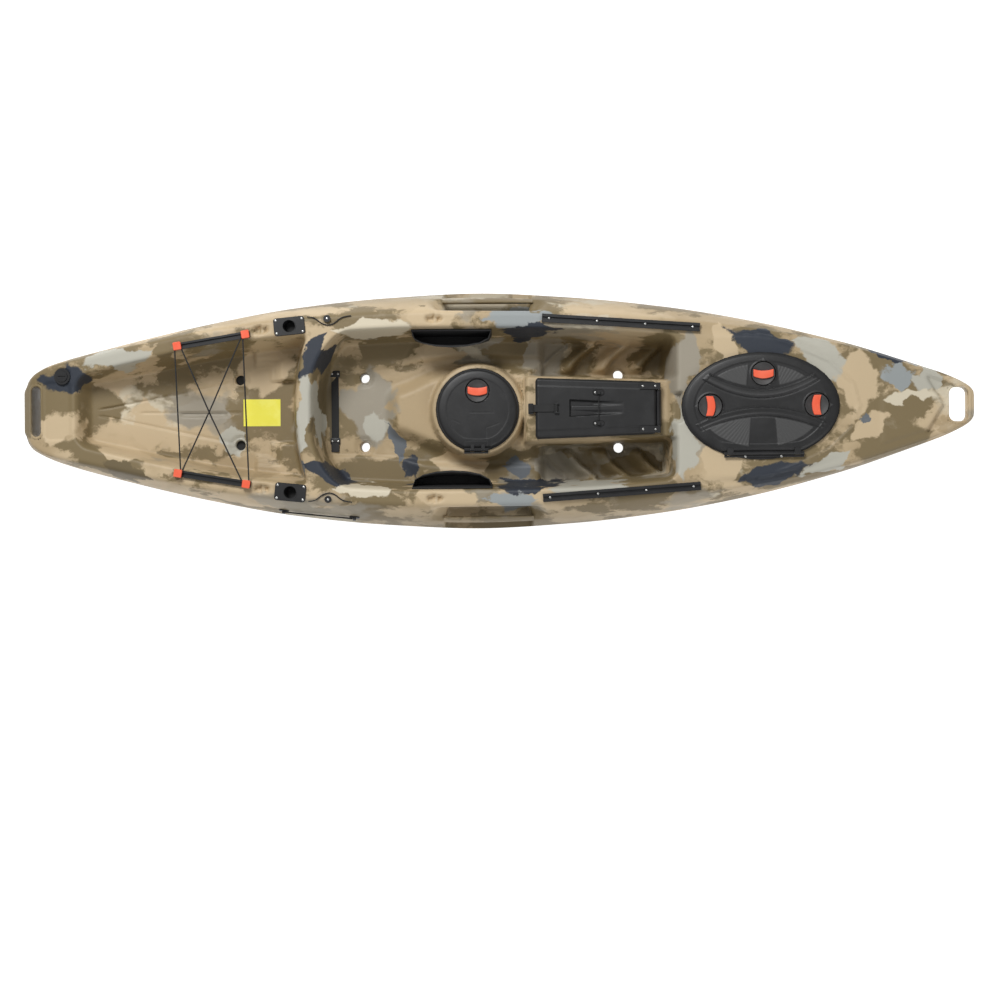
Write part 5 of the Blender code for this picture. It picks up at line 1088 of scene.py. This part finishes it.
def mid_lines(x, y):
    """Faint pressed lines on the round lid."""
    lines = groove(x, y, ((-0.030, -0.010), (0.055, -0.010), (0.055, 0.004)), 0.0018)
    lines = np.maximum(lines, groove(x, y, ((-0.062, -0.046), (-0.086, -0.034)), 0.0018))
    lines = np.maximum(lines, groove(x, y, ((0.030, -0.098), (0.030, -0.062), (0.060, -0.052),
                                            (0.074, -0.046)), 0.0018))
    return np.maximum(lines, groove(x, y, ((-0.042, -0.128), (-0.042, -0.106), (0.034, -0.106),
                                           (0.034, -0.128)), 0.0016))


mid_crown = fair(0.0, 0.0221, 0.40, 0.0221, 0.80, 0.0212, 0.90, 0.0200, 0.965, 0.0181, 1.0, 0.0146)
MID_A, MID_LATCH_Y = 0.1345, 0.064


def mid_lid_surface(u, v):
    """The round lid's top, with its latch's dish."""
    dx, dy = disc_grid(u, v)
    x, y = dx * MID_A, dy * MID_A
    span = MID_A * np.sqrt(np.maximum(1 - (x / MID_A) ** 2, 1e-6))
    y = np.where(y < 0, y * np.minimum(1.0, 0.1268 / span), y)
    z = mid_crown(np.minimum(np.hypot(dx, dy), 1.0))
    z = z - 0.0006 * smooth(0.80, 0.78, np.hypot(dx, dy)) - 0.0007 * mid_lines(x, y)
    distance = np.hypot(x, y - MID_LATCH_Y)
    z = z + (0.0118 - z) * smooth(0.0410, 0.0395, distance)
    return x, y, z


def mid_lid():
    """The round hatch's lid with its two hinge barrels."""
    surface = skirted(shaped_grid(120, 120, mid_lid_surface),
                      ((1.0, HATCH_SKIRT + 0.002), (0.998, HATCH_SKIRT), (0.975, HATCH_SKIRT),
                       (0.970, HATCH_BASE)))
    whole = joined([surface, knuckle(-0.024, -0.012, -0.136), knuckle(0.012, 0.024, -0.136)])
    mesh = mark(to_mesh(whole, 40), lambda x, y, z: 0.25 * mid_lines(x, y) * (z > 0.015))
    mesh.transform(MID_HATCH)
    show("mid_lid_cover", mesh, PANEL_BLACK, "mid_lid", "black_plastic", "mid_hatch_lid")


def latch(name, node, place, floor, turn):
    """A dished quarter-turn knob with a bent orange grip across it."""
    rises = ((0.0, 0.0), (0.0375, 0.0), (0.0384, 0.0010), (0.0384, 0.0038), (0.0376, 0.0046),
             (0.0350, 0.0046),
             (0.0325, 0.0026), (0.0200, 0.0018), (0.0, 0.0016))
    dish = turned_on_lathe([(radius, floor + rise) for radius, rise in rises], 56)
    shaft = turned_on_lathe(((0.0, 0.0044), (0.0066, 0.0044), (0.0066, floor + 0.001), (0.0, floor + 0.001)),
                            24)
    here = place @ Matrix.Rotation(turn, 4, "Z")
    knob = joined([dish, shaft])
    bmesh.ops.transform(knob, matrix=here, verts=knob.verts)
    show(f"{name}_knob", to_mesh(knob, 40), GREY_BLACK, name, "black_plastic", node)
    grip = bmesh.new()
    bmesh.ops.create_cube(grip, size=1.0)
    bmesh.ops.scale(grip, vec=(0.0260, 0.0660, 0.0086), verts=grip.verts)
    lengthwise = [e for e in grip.edges if abs((e.verts[0].co - e.verts[1].co).y) > 0.01]
    bmesh.ops.subdivide_edges(grip, edges=lengthwise, cuts=14)
    outline = [e for e in grip.edges if e.calc_face_angle(0.0) > 1.0]
    bmesh.ops.bevel(grip, geom=outline, offset=0.0020, offset_type="OFFSET", segments=3, profile=0.5,
                    affect="EDGES",
                    material=-1)
    for vert in grip.verts:
        share = vert.co.y / 0.033
        narrow = 1.0 - 0.10 * share * share
        vert.co.x = vert.co.x * narrow + 0.0065 * (0.55 - share * share)
        vert.co.z += floor + 0.0054 - 0.0006 * share * share
    bmesh.ops.transform(grip, matrix=here, verts=grip.verts)
    show(f"{name}_grip", to_mesh(grip, 40), ORANGE, name, "orange_plastic")


bow_lid()
mid_lid()
for hand, lx, ly, turn in BOW_LATCHES:
    latch(f"bow_latch_{hand}", f"bow_latch_{hand}", BOW_HATCH @ Matrix.Translation((lx, ly, 0.0)), 0.0134,
          turn)
latch("mid_latch", "mid_latch", MID_HATCH @ Matrix.Translation((0.0, MID_LATCH_Y, 0.0)), 0.0124, -pi / 2)

# ---------------------------------------------------------------- console

CONSOLE = Matrix.Translation((0.1475, 0.0, 0.235))
CONSOLE_LENGTH = 0.406


def console_half(x):
    """Half width of the console's lid."""
    return np.interp(x, (0.0, CONSOLE_LENGTH), (0.103, 0.088))


def console_surface(u, v):
    """The console lid's top: rounded rim, tapering trough and a low shelf."""
    x = (u + 1) / 2 * CONSOLE_LENGTH
    ends = np.minimum(x, CONSOLE_LENGTH - x)
    pulled = 0.012 - np.sqrt(np.maximum(0.012 ** 2 - np.maximum(0.012 - ends, 0.0) ** 2, 0.0))
    y = v * (console_half(x) - pulled)
    from_side = console_half(x) - np.abs(y)
    rim = smooth(-0.003, 0.0085, corner(ends, from_side, 0.012))
    z = 0.0320 - 0.0075 * (1 - rim) - 0.0012 * smooth(0.030, 0.024, from_side)
    share = (x - 0.1135) / 0.185
    width = 0.0300 - 0.0080 * share
    trough = np.minimum(np.minimum(x - 0.1135, 0.2985 - x), width - np.abs(y))
    depth = 0.0200 * np.clip(1.0 - share, 0.0, 1.0)
    z = z - depth * smooth(0.0, 0.0075, trough)
    z = z + 0.45 * depth * smooth(0.013, 0.006, np.abs(y)) * smooth(0.0, 0.01, trough)
    shelf = corner(np.minimum(x - 0.345, CONSOLE_LENGTH - 0.010 - x), 0.060 - np.abs(y), 0.008)
    z = z + 0.0008 * smooth(0.0, 0.004, shelf)
    return x, y, np.minimum(z, 0.0320)


def console_lid():
    """The console's lid with its skirt."""
    surface = shaped_grid(190, 100, console_surface)
    for drop, inset in ((0.0015, 0.0), (0.0015, 0.0026), (0.0210, 0.0026)):
        rim = [e for e in surface.edges if e.is_boundary]
        grown = bmesh.ops.extrude_edge_only(surface, edges=rim)["geom"]
        for vert in (g for g in grown if isinstance(g, bmesh.types.BMVert)):
            middle = CONSOLE_LENGTH / 2
            vert.co = (vert.co.x - inset * np.sign(vert.co.x - middle)
                       * (abs(vert.co.x - middle) > middle - 0.003),
                       vert.co.y - inset * np.sign(vert.co.y) * (abs(vert.co.y) > 0.06), drop)
    bmesh.ops.holes_fill(surface, edges=[e for e in surface.edges if e.is_boundary])
    mesh = mark(to_mesh(surface, 45), lambda x, y, z: 0.0 * x)
    mesh.transform(CONSOLE)
    show("console_cover", mesh, PANEL_BLACK, "console_lid", "black_plastic", "console_lid")


console_lid()

# ---------------------------------------------------------------- screws, label and rigging


def screw(place, radius=0.0042):
    """A domed head on the surface."""
    profile = ((0.0, -0.0006), (radius, -0.0006), (radius, 0.0006), (radius * 0.86, 0.0016),
               (radius * 0.5, 0.0022),
               (0.0, 0.0024))
    head = turned_on_lathe(profile, 20)
    bmesh.ops.transform(head, matrix=place, verts=head.verts)
    return head


def between(low, high, share):
    """A value between two others."""
    return low + (high - low) * share


def rail_screws(node, shares, across_share, drop):
    """Places along a rail, on its slot's floor."""
    low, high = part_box(node)
    side = 1 if low.y > 0 else -1
    found = []
    verts = np.array([v.co for v in NODES[node].data.vertices])
    aft = verts[verts[:, 0] < low.x + 0.004].mean(axis=0)
    fore = verts[verts[:, 0] > high.x - 0.004].mean(axis=0)
    for share in shares:
        spot = Vector(between(aft, fore, share))
        found.append(Matrix.Translation((spot.x, spot.y + side * across_share, spot.z + drop)))
    return found


def all_screws():
    """Screw heads on the rails, rod holders, cord buttons, hinge and console."""
    places = []
    for hand in ("port", "starboard"):
        places += rail_screws(f"gear_track_{hand}", (0.045, 0.350, 0.655, 0.955), 0.0, 0.0004)
        side = 1 if hand == "port" else -1
        rod = Matrix.Translation((ROD_HOLDER_X, side * ROD_HOLDER_Y, 0.29581 + 0.0008))
        rod = rod @ Matrix.Rotation(side * 0.085, 4, "Z") @ Matrix.Rotation(0.020, 4, "Y")
        corners = [(sx * 0.0435, sy * 0.0215, 0.0048) for sx in (1, -1) for sy in (1, -1)]
        places += [rod @ Matrix.Translation(spot) for spot in corners]
        low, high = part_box(f"cord_button_{hand}")
        places.append(Matrix.Translation(((low.x + high.x) / 2, (low.y + high.y) / 2, high.z)))
    places += [BOW_HATCH @ Matrix.Translation((x, -0.1685, 0.0122)) for x in (-0.050, 0.068)]
    show("screw_heads", to_mesh(joined([screw(place) for place in places]), 50), STEEL, "hull", "steel")
    lid_places = []
    for hand in ("port", "starboard"):
        low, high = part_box(f"console_leaf_{hand}")
        middle_y = (low.y + high.y) / 2
        lid_places += [Matrix.Translation((x, middle_y, high.z)) for x in (low.x + 0.010, low.x + 0.052)]
        low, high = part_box(f"console_eye_{hand}")
        lid_places.append(Matrix.Translation((low.x + 0.0085, (low.y + high.y) / 2, low.z + 0.003)))
    heads = [screw(place, 0.0038) for place in lid_places]
    show("lid_screw_heads", to_mesh(joined(heads), 50), STEEL, "console_lid", "steel")


all_screws()


def painted_shade_discs():
    """Black discs of painted shade down the rod holders' bores and the tank's drains, which are open in the
    real boat.
    """
    tubes = []
    for side in (1, -1):
        place = Matrix.Translation((ROD_HOLDER_X, side * ROD_HOLDER_Y, 0.0))
        tubes.append(turned_on_lathe(((0.0, 0.2600), (0.0225, 0.2600), (0.0225, 0.2640), (0.0, 0.2640)), 36,
                                     place))
    for x, y, floor in SCUPPERS:
        if x < -0.8:
            place = Matrix.Translation((x, y, 0.0))
            profile = ((0.0, floor - 0.030), (0.0175, floor - 0.030), (0.0175, floor - 0.026),
                       (0.0, floor - 0.026))
            tubes.append(turned_on_lathe(profile, 32, place))
    # The discs are painted shade, drawn in the black rubber finish.
    return show("painted_shade_tube_ends", to_mesh(joined(tubes), 40), RUBBER_AND_PAINTED_SHADE, "hull", "rubber")


def strap_fittings():
    """Screwed plates at the ends of the seat strap."""
    low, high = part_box("seat_strap")
    middle, blocks = (low.x + high.x) / 2, []
    for y in (low.y + 0.004, high.y - 0.004):
        blocks.append(rounded_block((0.034, 0.022, 0.0045), Matrix.Translation((middle, y, high.z + 0.0010)),
                                    0.0015, 2))
    show("strap_end_plates", to_mesh(joined(blocks), 40), BLACK, "hull", "black_plastic")
    heads = [screw(Matrix.Translation((middle + dx, high.y - 0.004, high.z + 0.0032)),
                   0.0038) for dx in (-0.010, 0.010)]
    heads += [screw(Matrix.Translation((middle + dx, low.y + 0.004, high.z + 0.0032)),
                    0.0038) for dx in (-0.010, 0.010)]
    show("strap_screws", to_mesh(joined(heads), 50), STEEL, "hull", "steel")


# Black discs of painted shade in the rod holders' bores and the tank's drains.
painted_shade_discs()
strap_fittings()
label = rounded_block((0.128, 0.093, 0.0008), Matrix.Translation((-0.795, -0.001, 0.1303)), 0.0003, 1)
show("yellow_label", to_mesh(label, 40), YELLOW, "hull", "hull")

# ---------------------------------------------------------------- carried-over pieces

FINISHES = {
    "black_plastic": BLACK, "orange_plastic": ORANGE, "rubber": RUBBER_AND_PAINTED_SHADE,
    "tyre": TYRE, "cord": CORD, "steel": STEEL,
}
for part in frame["record"]["subparts"]:
    node = NODES[part["node"]]
    if node.hide_render:
        continue
    node.data.materials.clear()
    node.data.materials.append(FINISHES[part["material_slot"]])
    if part["material_slot"] in ("black_plastic", "orange_plastic"):
        edges = node.modifiers.new("edges", "BEVEL")
        edges.width = 0.0006
        edges.segments = 2
        edges.limit_method = "ANGLE"
        edges.angle_limit = radians(35)

floor_mesh = bmesh.new()
bmesh.ops.create_grid(floor_mesh, x_segments=1, y_segments=1, size=9.0)
floor = bpy.data.objects.new("floor", to_mesh(floor_mesh, 0))
floor.data.materials.append(FLOOR)
bpy.context.scene.collection.objects.link(floor)
